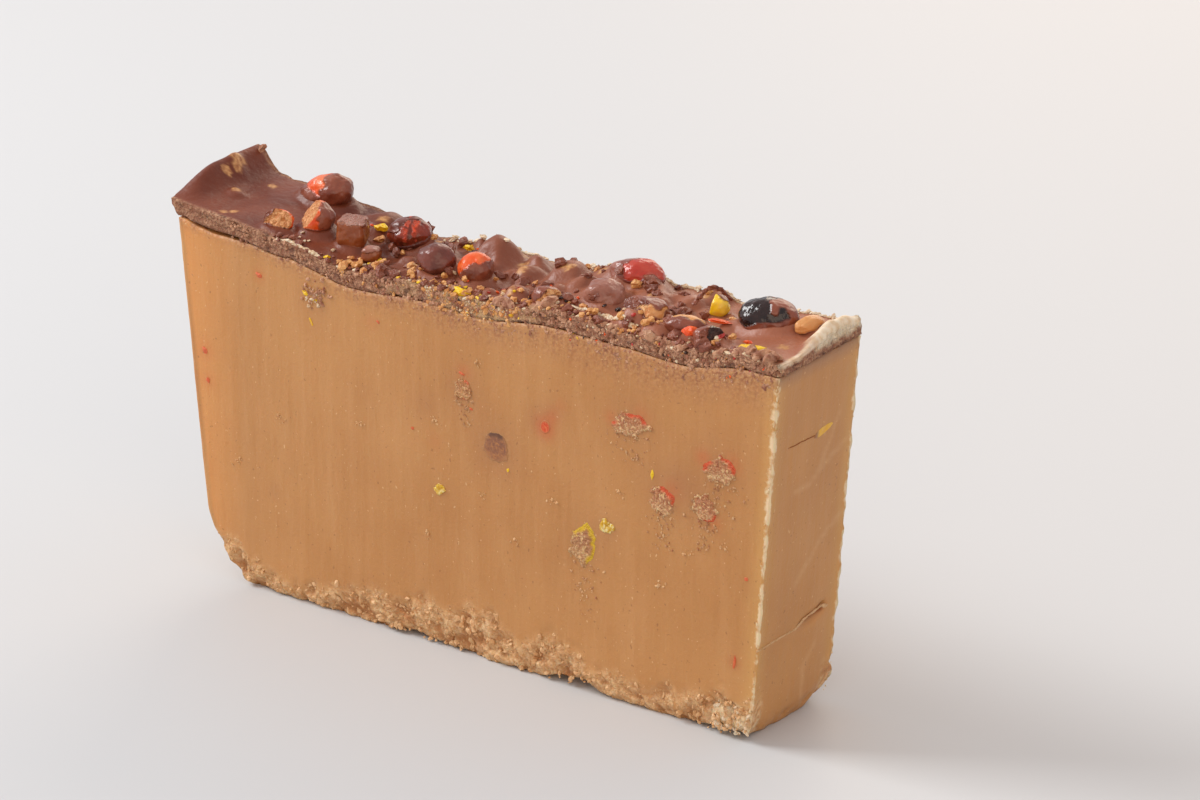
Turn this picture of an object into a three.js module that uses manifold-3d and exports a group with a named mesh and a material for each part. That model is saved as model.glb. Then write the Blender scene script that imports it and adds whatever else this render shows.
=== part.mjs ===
// A slice of fudge: a tan block that carries a thin layer of milk chocolate, with chopped shell
// candies and nuts set into the chocolate, and cut candies that show in the sliced faces.
// Units are millimetres. +Z is up, X runs along the slice and Y across its thickness, and the
// origin is the middle of the base that it stands on.
import * as THREE from 'three';
import { mergeVertices } from 'three/addons/utils/BufferGeometryUtils.js';
import { ImprovedNoise } from 'three/addons/math/ImprovedNoise.js';
import Module from 'manifold-3d';

const wasm = await Module();
wasm.setup();

// Driving sizes of the slice
const LENGTH = 154.7;
const THICKNESS = 27;
const HALF_LENGTH = LENGTH / 2;
const HALF_THICKNESS = THICKNESS / 2;
const NOMINAL_HEIGHT = 77;
const CLEARANCE = 0.3;

// The block's ends lean in towards the base, and its lower corners are rounded.
const LEFT_LIP = 2.8;
const LEFT_LEAN = 6.5;
const LEFT_CORNER = { height: 16, reach: 9, power: 1.6 };
const RIGHT_LIP = 0.4;
const RIGHT_LEAN = 5.4;
const RIGHT_CORNER = { height: 5, reach: 1.6, power: 2 };

// The base is flat down its middle and pitted along both edges. The foot of each face is
// crumbly, and the rest of it waves a little where the knife went through.
const BASE_PIT = { depth: 1.9, pitch: 21, ripple: 0.12, rippleLength: 3.4, gain: 2.2 };
const BASE_FLAT_HALF_WIDTH = 5;
const FOOT_ROUND = { height: 3, reach: 1.1 };
const CRUMB_BAND = { height: 13, depth: 0.9, pitch: 4.5, cover: 0.25 };
const FACE_WAVE = { depth: 0.22, pitch: 30 };

// Height of the chocolate's top at the front face, at stations from the left end to the right
const LEVEL_STATIONS = [
  [-HALF_LENGTH, 82.4], [-62, 81.0], [-46, 78.9], [-27, 75.9], [-8, 76.8], [5, 76.2],
  [23, 78.0], [40, 77.3], [55, 76.3], [69, 78.1], [HALF_LENGTH, 78.0],
];
const CROSS_RISE = 1.4;
const LEFT_RIM = { height: 4.6, inset: 1.5, width: 3.2, from: -14.5, to: 0 };
const RIGHT_RIM = { height: 1.7, inset: 0.6, width: 2.2, from: -9, to: 4 };
const CHOCOLATE_THICKNESS = { left: 3.1, right: 2.2, thinsFrom: 20 };
const CHOCOLATE_LIP = 2.1;
const SURFACE_RIPPLE = { depth: 0.35, pitch: 9 };
const BROKEN_EDGE = { depth: 1.0, pitch: 3.1, turnOver: 9 };

// The chocolate swells up round each topping that sank into it while it was soft.
const SWELL = { height: 1.2, reach: 0.85 };

// Lumps where the chocolate has run over nuts: place, radius and height
const LUMPS = [
  { x: -4.6, y: 6.0, radius: 4.4, height: 5.2 },
  { x: 3.6, y: 8.4, radius: 2.4, height: 2.6 },
  { x: 5.8, y: 2.6, radius: 2.6, height: 2.4 },
  { x: 13.4, y: 5.4, radius: 3.8, height: 3.0 },
  { x: 11.0, y: -8.6, radius: 2.2, height: 2.6 },
  { x: 20.5, y: 8.6, radius: 2.8, height: 1.8 },
  { x: 19.5, y: 0.8, radius: 2.6, height: 1.6 },
  { x: -37.0, y: 8.4, radius: 4.0, height: 2.4 },
  { x: -17.5, y: 3.2, radius: 2.4, height: 1.3 },
  { x: 36.6, y: 3.4, radius: 3.2, height: 1.9 },
  { x: 43.6, y: 5.6, radius: 2.6, height: 1.8 },
  { x: -74.0, y: 4.0, radius: 1.9, height: 0.9 },
  { x: -68.6, y: -1.6, radius: 1.7, height: 0.8 },
  { x: 70.5, y: -9.6, radius: 3.0, height: 0.9 },
];

// Grid steps along, across and up the two large pieces; the block's rows crowd to its foot.
const BLOCK_STEPS = { along: 36, across: 8, up: 12, crowding: 1.35 };
const LAYER_STEPS = { along: 52, across: 10, up: 2 };

const COLOURS = {
  fudge: 0xc49058,
  chocolate: 0x6e4334,
  coat: 0x5a3020,
  orange: 0xe2501c,
  red: 0xb8402a,
  yellow: 0xe6bc12,
  dark: 0x2a1a18,
  nut: 0xc88c4e,
  filling: 0xb07a52,
};

// Toppings as large as berries: middle, size along, across and up, turn about Z and tilt about Y
// in degrees, and how square the form is (2 is an ellipsoid). A chopped one has the direction
// that its cut faces, and the cut's distance from the middle as a share of half its height.
const TOPPINGS = [
  {
    name: 'candy_orange_patch', at: [-52.4, 8.4, 83.0], size: [14.0, 8.6, 7.8],
    turn: -4, tilt: -20, colour: 'coat',
  },
  {
    name: 'candy_half_orange', at: [-44.3, -4.4, 82.2], size: [7.6, 7.2, 6.8], turn: 20, colour: 'orange',
    cut: { faces: [-0.7, -0.3, 0.65], share: 0.35 },
  },
  {
    name: 'candy_small_half', at: [-50.7, -8.9, 81.4], size: [6.6, 5.4, 4.8], turn: 10, colour: 'nut',
    cut: { faces: [0.25, -0.85, 0.45], share: 0.4 },
  },
  { name: 'nut_square', at: [-35.2, -3.6, 80.9], size: [5.8, 5.8, 6.4], turn: 24, square: 4, colour: 'coat' },
  { name: 'candy_streaked', at: [-25.6, 2.8, 80.5], size: [9.4, 8.4, 6.8], turn: 15, colour: 'coat' },
  {
    name: 'nut_small_front', at: [-27.2, -7.2, 78.3], size: [4.0, 3.4, 3.2],
    turn: 30, square: 3, colour: 'coat',
  },
  { name: 'candy_brown_ball', at: [-10.4, -6.9, 80.2], size: [8.3, 7.0, 6.5], turn: 5, colour: 'coat' },
  { name: 'candy_orange_ball', at: [-1.7, -5.1, 79.6], size: [7.3, 7.2, 6.8], turn: 0, colour: 'orange' },
  {
    name: 'nut_front_coated', at: [19.6, -9.6, 79.0], size: [6.4, 4.8, 4.2],
    turn: -8, square: 2.6, colour: 'nut',
  },
  { name: 'candy_red_back', at: [28.4, 8.3, 80.9], size: [12.0, 8.2, 6.2], turn: 3, colour: 'red' },
  {
    name: 'nut_brown_lump', at: [28.9, -3.2, 79.7], size: [7.8, 7.0, 6.0],
    turn: 12, square: 2.6, colour: 'coat',
  },
  {
    name: 'nut_tan_lump', at: [40.8, -6.0, 79.4], size: [9.4, 7.0, 5.8],
    turn: 6, square: 2.5, colour: 'nut',
  },
  { name: 'nut_long', at: [51.0, -6.7, 78.7], size: [8.6, 4.8, 4.4], turn: 24, colour: 'nut' },
  {
    name: 'candy_yellow_half', at: [50.7, 4.0, 79.9], size: [4.6, 4.4, 4.6], turn: 0, colour: 'yellow',
    cut: { faces: [-0.9, -0.3, 0.2], share: 0.45 },
  },
  {
    name: 'candy_black_chunk', at: [58.7, -9.9, 78.5], size: [6.4, 5.2, 4.8],
    turn: -20, square: 3.2, colour: 'dark',
  },
  { name: 'candy_dark_large', at: [63.2, 2.8, 80.4], size: [12.2, 9.8, 7.8], turn: 10, colour: 'dark' },
  { name: 'peanut_right', at: [71.8, 4.2, 80.3], size: [7.2, 3.8, 3.6], turn: 78, colour: 'nut' },
];

// Candies that the knife cut through: place on the face, width, height and turn in the face
const CUT_REACH = 5;
const CUT_SQUARE = 2.3;
const FRONT_CUTS = [
  { name: 'cut_brown_deep', x: 9.6, z: 46.7, width: 8.8, height: 8.4, turn: 0, colour: 'coat' },
  { name: 'cut_orange_spot', x: 22.0, z: 53.8, width: 3.0, height: 3.6, turn: 10, colour: 'orange' },
  { name: 'cut_orange_arc', x: 42.8, z: 58.9, width: 11.6, height: 6.2, turn: -12, colour: 'filling' },
  { name: 'cut_orange_rim', x: 50.5, z: 45.0, width: 7.2, height: 8.2, turn: 16, colour: 'filling' },
  { name: 'cut_red_arcs', x: 64.0, z: 54.4, width: 10.4, height: 7.0, turn: -8, colour: 'filling' },
  { name: 'cut_orange_low', x: 60.4, z: 45.8, width: 7.6, height: 7.2, turn: 24, colour: 'filling' },
  { name: 'cut_yellow_long', x: 31.4, z: 31.4, width: 7.4, height: 12.2, turn: 14, colour: 'yellow' },
  { name: 'cut_yellow_round', x: 37.0, z: 36.6, width: 4.2, height: 3.8, turn: 0, colour: 'yellow' },
  { name: 'cut_yellow_small', x: -4.9, z: 34.6, width: 3.6, height: 2.8, turn: -20, colour: 'yellow' },
  { name: 'cut_pink_crumbs', x: 1.5, z: 57.2, width: 5.6, height: 6.2, turn: 20, colour: 'filling' },
];
const BACK_CUTS = [
  { name: 'back_cut_orange', x: -42, z: 52, width: 9.4, height: 6.6, turn: 18, colour: 'filling' },
  { name: 'back_cut_yellow', x: -20, z: 30, width: 7.0, height: 9.6, turn: -24, colour: 'yellow' },
  { name: 'back_cut_brown', x: 8, z: 58, width: 8.6, height: 7.4, turn: 8, colour: 'coat' },
  { name: 'back_cut_red', x: 34, z: 42, width: 9.8, height: 6.4, turn: -14, colour: 'filling' },
  { name: 'back_cut_small', x: 56, z: 60, width: 4.4, height: 4.0, turn: 0, colour: 'orange' },
];
const END_SHARD = {
  name: 'end_yellow_shard', y: 4.0, z: 60.0, length: 6.8, height: 2.2, reach: 3.2, tilt: 12,
};

// Small chips of shell and nut lie pressed into the chocolate, most of them towards the front.
const CHIPS = {
  count: 25, seed: 11, least: 1.3, most: 2.9, from: -58, endMargin: 3, faceMargin: 2,
  clear: 1.9, apart: 2.9, frontwards: 1.4, flatness: 0.7, square: 3, proud: 0.12,
};

// Thin gaps: one where the chocolate lifts off the block at the left, one across the right end
const LIFT_GAP = { x: -63.5, length: 17, mouth: 1.3, reach: 4, slopeSpan: 4 };
const END_CRACK = { z: 20.4, mouth: 0.9, reach: 2.2, outside: 2, from: -11, to: 15 };

// Surfaces are uneven by smooth noise; each use reads its own slice of the noise.
const noise = new ImprovedNoise();
const RIPPLE_SLICE = 3;
const PIT_SLICE = 9;
const CRUMB_SLICE = 40;
const WAVE_SLICE = 70;
const EDGE_SLICE = 20;

function roughness(x, y, z, pitch) {
  return noise.noise(x / pitch, y / pitch, z / pitch);
}

function smooth(value, from, to) {
  return THREE.MathUtils.smoothstep(value, from, to);
}

function bell(distance, width) {
  return Math.exp(-((distance / width) ** 2));
}

function radians(degrees) {
  return THREE.MathUtils.degToRad(degrees);
}

// Levels of the chocolate's top and underside, and of the block's base
function frontLevel(x) {
  const last = LEVEL_STATIONS.length - 1;
  let station = 0;
  while (station < last - 1 && x > LEVEL_STATIONS[station + 1][0]) {
    station += 1;
  }
  const [fromX, fromZ] = LEVEL_STATIONS[station];
  const [toX, toZ] = LEVEL_STATIONS[station + 1];
  return THREE.MathUtils.lerp(fromZ, toZ, smooth(x, fromX, toX));
}

function slabLevel(x, y) {
  const acrossShare = (y + HALF_THICKNESS) / THICKNESS;
  return frontLevel(x) + CROSS_RISE * acrossShare;
}

function rims(x, y) {
  const fromLeft = x + HALF_LENGTH - LEFT_RIM.inset;
  const fromRight = HALF_LENGTH - RIGHT_RIM.inset - x;
  const left = LEFT_RIM.height * smooth(y, LEFT_RIM.from, LEFT_RIM.to) * bell(fromLeft, LEFT_RIM.width);
  const right = RIGHT_RIM.height * smooth(y, RIGHT_RIM.from, RIGHT_RIM.to) * bell(fromRight, RIGHT_RIM.width);
  return left + right;
}

function chocolateTop(x, y) {
  let height = slabLevel(x, y) + rims(x, y);
  height += SURFACE_RIPPLE.depth * roughness(x, y, RIPPLE_SLICE, SURFACE_RIPPLE.pitch);
  for (const lump of LUMPS) {
    height += lump.height * bell(Math.hypot(x - lump.x, y - lump.y), lump.radius);
  }
  for (const { at, size } of TOPPINGS) {
    const reach = SWELL.reach * (size[0] + size[1]) / 4;
    height += SWELL.height * bell(Math.hypot(x - at[0], y - at[1]), reach);
  }
  return height;
}

function chocolateUnderside(x, y) {
  const { left, right, thinsFrom } = CHOCOLATE_THICKNESS;
  return slabLevel(x, y) - THREE.MathUtils.lerp(left, right, smooth(x, thinsFrom, HALF_LENGTH));
}

function blockBase(x, y) {
  const edge = smooth(Math.abs(y), BASE_FLAT_HALF_WIDTH, HALF_THICKNESS);
  const ripple = BASE_PIT.ripple * Math.sin(x / BASE_PIT.rippleLength);
  const pit = Math.max(0, roughness(x, y, PIT_SLICE, BASE_PIT.pitch) + ripple);
  return BASE_PIT.depth * edge * Math.min(1, BASE_PIT.gain * pit);
}

// Ends and faces of the block
function cornerReach(z, corner) {
  return corner.reach * Math.max(0, 1 - z / corner.height) ** corner.power;
}

function blockLeft(z) {
  return -HALF_LENGTH + LEFT_LIP + LEFT_LEAN * (1 - z / NOMINAL_HEIGHT) + cornerReach(z, LEFT_CORNER);
}

function blockRight(z) {
  return HALF_LENGTH - RIGHT_LIP - RIGHT_LEAN * (1 - z / NOMINAL_HEIGHT) - cornerReach(z, RIGHT_CORNER);
}

// How far a face lies inside its plane; side is -1 for the front and 1 for the back.
function faceRelief(x, z, side) {
  const crumbs = CRUMB_BAND.depth * (1 - smooth(z, 0, CRUMB_BAND.height))
    * Math.max(0, roughness(x, side * CRUMB_SLICE, z, CRUMB_BAND.pitch) + CRUMB_BAND.cover);
  const wave = FACE_WAVE.depth * Math.max(0, roughness(x, side * WAVE_SLICE, z, FACE_WAVE.pitch));
  const foot = FOOT_ROUND.reach * Math.max(0, 1 - z / FOOT_ROUND.height) ** 2;
  return crumbs + wave + foot;
}

// A box whose grid points are moved by a function of their three shares, each from 0 to 1
function shapedBox(steps, place) {
  const geometry = new THREE.BoxGeometry(1, 1, 1, steps.along, steps.across, steps.up);
  const positions = geometry.attributes.position;
  for (let index = 0; index < positions.count; index += 1) {
    const shares = new THREE.Vector3().fromBufferAttribute(positions, index).addScalar(0.5);
    positions.setXYZ(index, ...place(shares.x, shares.y, shares.z));
  }
  return geometry;
}

function blockGeometry() {
  return shapedBox(BLOCK_STEPS, (along, across, up) => {
    const share = up ** BLOCK_STEPS.crowding;
    const level = share * NOMINAL_HEIGHT;
    const x = THREE.MathUtils.lerp(blockLeft(level), blockRight(level), along);
    const front = -HALF_THICKNESS + faceRelief(x, level, -1);
    const back = HALF_THICKNESS - faceRelief(x, level, 1);
    const y = THREE.MathUtils.lerp(front, back, across);
    const top = chocolateUnderside(x, y) - CLEARANCE;
    return [x, y, THREE.MathUtils.lerp(blockBase(x, y), top, share)];
  });
}

function brokenEdge(x, up, side) {
  const { depth, pitch, turnOver } = BROKEN_EDGE;
  return depth * Math.max(0, roughness(x, side * EDGE_SLICE, up * turnOver, pitch));
}

function layerGeometry() {
  return shapedBox(LAYER_STEPS, (along, across, up) => {
    const left = -HALF_LENGTH + CHOCOLATE_LIP * (1 - up);
    const x = THREE.MathUtils.lerp(left, HALF_LENGTH, along);
    const front = -HALF_THICKNESS + brokenEdge(x, up, -1);
    const back = HALF_THICKNESS - brokenEdge(x, up, 1);
    const y = THREE.MathUtils.lerp(front, back, across);
    return [x, y, THREE.MathUtils.lerp(chocolateUnderside(x, y), chocolateTop(x, y), up)];
  });
}

// Solids and geometries are turned into one another for the cuts and joins.
function toSolid(geometry) {
  const bare = geometry.clone();
  bare.deleteAttribute('normal');
  bare.deleteAttribute('uv');
  const merged = mergeVertices(bare, 1e-4);
  return new wasm.Manifold(new wasm.Mesh({
    numProp: 3,
    vertProperties: new Float32Array(merged.attributes.position.array),
    triVerts: new Uint32Array(merged.index.array),
  }));
}

function toGeometry(solid) {
  const mesh = solid.getMesh();
  const geometry = new THREE.BufferGeometry();
  geometry.setAttribute('position', new THREE.BufferAttribute(mesh.vertProperties, 3));
  geometry.setIndex(new THREE.BufferAttribute(mesh.triVerts, 1));
  const faceted = geometry.toNonIndexed();
  faceted.computeVertexNormals();
  return faceted;
}

// An uneven rounded lump; square is the power of its superellipsoid form.
const LUMP_ROUGHNESS = { depth: 0.11, waves: 1.6 };

function lumpGeometry(size, square, detail, seed) {
  const geometry = new THREE.IcosahedronGeometry(1, detail);
  const positions = geometry.attributes.position;
  const { depth, waves } = LUMP_ROUGHNESS;
  const point = new THREE.Vector3();
  for (let index = 0; index < positions.count; index += 1) {
    point.fromBufferAttribute(positions, index).normalize();
    const powers = Math.abs(point.x) ** square + Math.abs(point.y) ** square + Math.abs(point.z) ** square;
    const uneven = 1 + depth * noise.noise(point.x * waves + seed, point.y * waves, point.z * waves);
    point.multiplyScalar(powers ** (-1 / square) * uneven / 2);
    positions.setXYZ(index, point.x * size[0], point.y * size[1], point.z * size[2]);
  }
  return geometry;
}

// The space beyond a chopping plane, as a block larger than any candy
const CHOPPER = 40;

function beyondPlane(faces, distance) {
  const geometry = new THREE.BoxGeometry(CHOPPER, CHOPPER, CHOPPER);
  geometry.translate(0, 0, CHOPPER / 2 + distance);
  const upwards = new THREE.Vector3(0, 0, 1);
  const outwards = new THREE.Vector3(...faces).normalize();
  geometry.applyQuaternion(new THREE.Quaternion().setFromUnitVectors(upwards, outwards));
  return toSolid(geometry);
}

// Growth makes the same lump larger all round, to cut the pocket that it lies in. Lumps longer
// than FINE_FROM get finer facets.
const FINE_FROM = 7.5;
const SEED_STEP = 3.7;

function toppingSolid(topping, growth, index) {
  const size = topping.size.map((length) => length + 2 * growth);
  const detail = Math.max(...topping.size) > FINE_FROM ? 2 : 1;
  const geometry = lumpGeometry(size, topping.square ?? 2, detail, index * SEED_STEP);
  geometry.rotateY(radians(topping.tilt ?? 0));
  geometry.rotateZ(radians(topping.turn));
  let solid = toSolid(geometry);
  if (topping.cut) {
    const distance = topping.cut.share * topping.size[2] / 2 + growth;
    solid = solid.subtract(beyondPlane(topping.cut.faces, distance));
  }
  return solid.translate(topping.at);
}

// A cut candy is a lump with its middle on the sliced face; the block's side of it is kept.
function cutCandySolid(cut, side, growth, index) {
  const size = [cut.width + 2 * growth, 2 * (CUT_REACH + growth), cut.height + 2 * growth];
  const geometry = lumpGeometry(size, CUT_SQUARE, 1, index * SEED_STEP);
  geometry.rotateY(radians(cut.turn));
  geometry.translate(cut.x, side * HALF_THICKNESS, cut.z);
  return toSolid(geometry);
}

function endShardSolid(growth) {
  const { y, z, length, height, reach, tilt } = END_SHARD;
  const geometry = lumpGeometry([2 * (reach + growth), length + 2 * growth, height + 2 * growth], 2, 1, 0);
  geometry.rotateX(radians(tilt));
  geometry.translate(blockRight(z), y, z);
  return toSolid(geometry);
}

function liftGapSolid() {
  const { x, length, mouth, reach, slopeSpan } = LIFT_GAP;
  const geometry = lumpGeometry([length, 2 * reach, mouth], 2, 1, 0);
  const fall = frontLevel(x - slopeSpan) - frontLevel(x + slopeSpan);
  geometry.rotateY(Math.atan2(fall, 2 * slopeSpan));
  geometry.translate(x, -HALF_THICKNESS, chocolateUnderside(x, -HALF_THICKNESS));
  return toSolid(geometry);
}

function endCrackSolid() {
  const { z, mouth, reach, outside, from, to } = END_CRACK;
  const outline = new THREE.Shape([
    new THREE.Vector2(-reach, 0),
    new THREE.Vector2(outside, -mouth),
    new THREE.Vector2(outside, mouth),
  ]);
  const geometry = new THREE.ExtrudeGeometry(outline, { depth: to - from, steps: 1, bevelEnabled: false });
  geometry.rotateX(Math.PI / 2);
  geometry.translate(blockRight(z), to, z);
  return toSolid(geometry);
}

// Repeatable random numbers from 0 to 1
const RANDOM_FACTOR = 16807;
const RANDOM_RANGE = 2147483647;

function randomFrom(seed) {
  let state = seed;
  return () => {
    state = (state * RANDOM_FACTOR) % RANDOM_RANGE;
    return state / RANDOM_RANGE;
  };
}

// Chips are dropped at random places that keep clear of the toppings and of each other.
function chipSolids() {
  const random = randomFrom(CHIPS.seed);
  const chips = [];
  while (chips.length < CHIPS.count) {
    const reach = HALF_THICKNESS - CHIPS.faceMargin;
    const x = THREE.MathUtils.lerp(CHIPS.from, HALF_LENGTH - CHIPS.endMargin, random());
    const y = THREE.MathUtils.lerp(-reach, reach, random() ** CHIPS.frontwards);
    const length = THREE.MathUtils.lerp(CHIPS.least, CHIPS.most, random() ** 2);
    const turn = random() * Math.PI;
    const nearTopping = TOPPINGS.some(({ at, size }) => (
      Math.hypot(x - at[0], y - at[1]) < size[0] / 2 + CHIPS.clear));
    const nearChip = chips.some((chip) => Math.hypot(x - chip.x, y - chip.y) < CHIPS.apart);
    if (!nearTopping && !nearChip) {
      const thickness = length * CHIPS.flatness;
      const geometry = lumpGeometry([length, thickness, thickness], CHIPS.square, 0, chips.length);
      geometry.rotateZ(turn);
      geometry.translate(x, y, chocolateTop(x, y) + length * CHIPS.proud);
      chips.push({ x, y, solid: toSolid(geometry) });
    }
  }
  return chips.map((chip) => chip.solid);
}

const SHINE = { topping: 0.35, cutCandy: 0.6, block: 0.75, layer: 0.4 };

function named(name, solid, colour, shine) {
  const material = new THREE.MeshStandardMaterial({ color: COLOURS[colour], roughness: shine, metalness: 0 });
  const mesh = new THREE.Mesh(toGeometry(solid), material);
  mesh.name = name;
  return mesh;
}

const slice = new THREE.Group();
let block = toSolid(blockGeometry());
let layer = toSolid(layerGeometry());
for (const chip of chipSolids()) {
  layer = layer.add(chip);
}
layer = layer.subtract(liftGapSolid());
block = block.subtract(liftGapSolid()).subtract(endCrackSolid());

TOPPINGS.forEach((topping, index) => {
  const pocket = toppingSolid(topping, CLEARANCE, index);
  layer = layer.subtract(pocket);
  block = block.subtract(pocket);
  slice.add(named(topping.name, toppingSolid(topping, 0, index), topping.colour, SHINE.topping));
});

// Each cut candy lies flush in the face that it shows in.
const uncutBlock = block;
function setIntoBlock(name, colour, solidAt) {
  block = block.subtract(solidAt(CLEARANCE));
  slice.add(named(name, solidAt(0).intersect(uncutBlock), colour, SHINE.cutCandy));
}
FRONT_CUTS.forEach((cut, index) => {
  setIntoBlock(cut.name, cut.colour, (growth) => cutCandySolid(cut, -1, growth, index));
});
BACK_CUTS.forEach((cut, index) => {
  setIntoBlock(cut.name, cut.colour, (growth) => cutCandySolid(cut, 1, growth, index + FRONT_CUTS.length));
});
setIntoBlock(END_SHARD.name, 'yellow', endShardSolid);

slice.add(named('fudge', block, 'fudge', SHINE.block));
slice.add(named('chocolate', layer, 'chocolate', SHINE.layer));

export default slice;
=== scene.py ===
import math
import random
from itertools import chain

import bmesh
import bpy
from mathutils import Euler, Matrix, Vector, noise


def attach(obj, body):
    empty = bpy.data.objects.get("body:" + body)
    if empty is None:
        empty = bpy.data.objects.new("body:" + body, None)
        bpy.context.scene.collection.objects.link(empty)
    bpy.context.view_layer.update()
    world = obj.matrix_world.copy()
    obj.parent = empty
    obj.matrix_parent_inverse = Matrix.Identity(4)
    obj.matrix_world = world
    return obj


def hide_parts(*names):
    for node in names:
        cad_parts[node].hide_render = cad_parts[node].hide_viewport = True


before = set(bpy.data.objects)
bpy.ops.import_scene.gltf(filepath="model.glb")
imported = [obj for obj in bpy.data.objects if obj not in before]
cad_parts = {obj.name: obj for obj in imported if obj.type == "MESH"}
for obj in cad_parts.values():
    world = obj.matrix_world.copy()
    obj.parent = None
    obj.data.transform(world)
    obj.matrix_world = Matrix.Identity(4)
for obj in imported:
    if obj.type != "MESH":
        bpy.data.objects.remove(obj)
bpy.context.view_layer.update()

# Fudge block
# The tan block of dense peanut butter fudge, cut on all sides, with leaning ends and a crumbly
# foot. It is a cube divided into a fine grid, whose vertices are moved by the same formulas of
# place as the solid's, in millimetres, with finer relief added.
MM = 0.001
LENGTH = 154.7
THICKNESS = 27.0
HALF_LENGTH = LENGTH / 2
HALF_THICKNESS = THICKNESS / 2
NOMINAL_HEIGHT = 77.0
CLEARANCE = 0.3


def rough(x, y, z, pitch):
    """Smooth noise from -1 to 1 that changes over about one pitch."""
    return noise.noise(Vector((x / pitch, y / pitch, z / pitch)))


def crags(x, y, z, pitch, octaves=3):
    """Noise with finer noise on it, from about -1 to 1."""
    return noise.fractal(Vector((x / pitch, y / pitch, z / pitch)), 0.8, 2.1, octaves)


def grains(x, y, z, pitch):
    """Rounded grains packed side by side: 1 on top of a grain and 0 between grains."""
    nearest = noise.voronoi(Vector((x / pitch, y / pitch, z / pitch)))[0][0]
    return math.sqrt(max(0.0, 1 - (nearest / 0.75) ** 2))


def smooth(value, start, end):
    """0 below start and 1 above end, with a smooth rise between them."""
    share = min(1.0, max(0.0, (value - start) / (end - start)))
    return share * share * (3 - 2 * share)


def bell(distance, width):
    return math.exp(-((distance / width) ** 2))


def mix(first, second, share):
    return first + (second - first) * share


LEVEL_STATIONS = [
    (-HALF_LENGTH, 82.4), (-62, 81.0), (-46, 78.9), (-27, 75.9), (-8, 76.8), (5, 76.2),
    (23, 78.0), (40, 77.3), (55, 76.3), (69, 78.1), (HALF_LENGTH, 78.0),
]
CROSS_RISE = 1.4


def front_level(x):
    """Height of the chocolate's top at the front face."""
    for (from_x, from_z), (to_x, to_z) in zip(LEVEL_STATIONS, LEVEL_STATIONS[1:]):
        if x <= to_x:
            break
    return mix(from_z, to_z, smooth(x, from_x, to_x))


def slab_level(x, y):
    return front_level(x) + CROSS_RISE * (y + HALF_THICKNESS) / THICKNESS


LAYER_LEFT = 3.1
LAYER_RIGHT = 2.2
LAYER_THINS_FROM = 20


def chocolate_underside(x, y):
    thickness = mix(LAYER_LEFT, LAYER_RIGHT, smooth(x, LAYER_THINS_FROM, HALF_LENGTH))
    return slab_level(x, y) - thickness


LEFT_INSET = 2.8
LEFT_LEAN = 6.5
LEFT_CORNER_REACH = 9
LEFT_CORNER_HEIGHT = 16
RIGHT_INSET = 0.4
RIGHT_LEAN = 5.4
RIGHT_CORNER_REACH = 1.6
RIGHT_CORNER_HEIGHT = 5
BASE_PIT_DEPTH = 1.9
BASE_FLAT_HALF_WIDTH = 5


def block_left(z):
    """Where the left end is at a height: it leans outwards and is rounded off at its foot."""
    corner = LEFT_CORNER_REACH * max(0.0, 1 - z / LEFT_CORNER_HEIGHT) ** 1.6
    return -HALF_LENGTH + LEFT_INSET + LEFT_LEAN * (1 - z / NOMINAL_HEIGHT) + corner


def block_right(z):
    corner = RIGHT_CORNER_REACH * max(0.0, 1 - z / RIGHT_CORNER_HEIGHT) ** 2
    return HALF_LENGTH - RIGHT_INSET - RIGHT_LEAN * (1 - z / NOMINAL_HEIGHT) - corner


def block_base(x, y):
    """Height of the underside, which is flat in the middle and broken up at its two edges."""
    edge = smooth(abs(y), BASE_FLAT_HALF_WIDTH, HALF_THICKNESS)
    pit = max(0.0, rough(x, y, 189, 21) + 0.12 * math.sin(x / 3.4))
    crumbs = 0.35 * edge * (1 - grains(x, y, 3, 2.6))
    return BASE_PIT_DEPTH * edge * min(1.0, 2.2 * pit) + crumbs


FOOT_HEIGHT = 6.0


def foot_height(x):
    """Height up to which the foot of a face is crumbly: more in the middle and at the left."""
    hump = 4.5 * bell(x - 4, 26) + 3.0 * bell(x + 62, 8)
    return FOOT_HEIGHT + hump + 4.5 * rough(x, 7, 0, 11) + 3.0 * rough(x, 3, 0, 3.5)


def crumbliness(x, z):
    """1 where the foot of a face is all crumbs, and 0 where the face is smooth."""
    top = foot_height(x)
    return 1 - smooth(z, top - 3.5, top + 1.5)


def face_relief(x, z, side):
    """How far a face lies inside its plane; side is -1 for the front and 1 for the back."""
    crumbly = crumbliness(x, z)
    foot = 1.1 * max(0.0, 1 - z / 3) ** 2
    wave = 0.25 * max(0.0, rough(x, side * 70, z, 30))
    drag = 0.04 * (1 + rough(x, side * 10, z / 9, 2.3)) + 0.06 * rough(x, side * 30, z / 5, 7)
    return foot + wave + drag * (1 - crumbly) + crumbly * foot_crags(x, z, side)


def front_face(x, z):
    """Where the surface of the front face is, along Y."""
    return -HALF_THICKNESS + face_relief(x, z, -1)


def foot_crags(x, z, side):
    """Depth of the crags in the crumbly foot: broken lumps with smaller ones on them."""
    broken = 1.5 * max(0.0, crags(x, side * 40, z * 1.3, 6.5) + 0.15)
    lumps = 0.5 * (1 - grains(x, side * 9, z * 1.2, 2.6)) + 0.3 * (1 - grains(x, side * 19, z, 1.3))
    return broken + lumps - 0.25


def end_relief(y, z):
    """How far an end lies inside its slope."""
    crumbly = 1 - smooth(z, 1.5, 5 + 2 * rough(y, 5, 0, 5))
    lumps = 0.6 * (1 - grains(61, y, z, 2.4))
    wave = 0.25 * rough(33, y, z, 14) + 0.08 * rough(y * 0.3, 44, z, 3)
    return crumbly * lumps + wave


END_SEED_SHIFT = 50


def right_end(y, z):
    """Where the surface of the right end is, along X."""
    return block_right(z) - end_relief(y + END_SEED_SHIFT, z)


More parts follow.
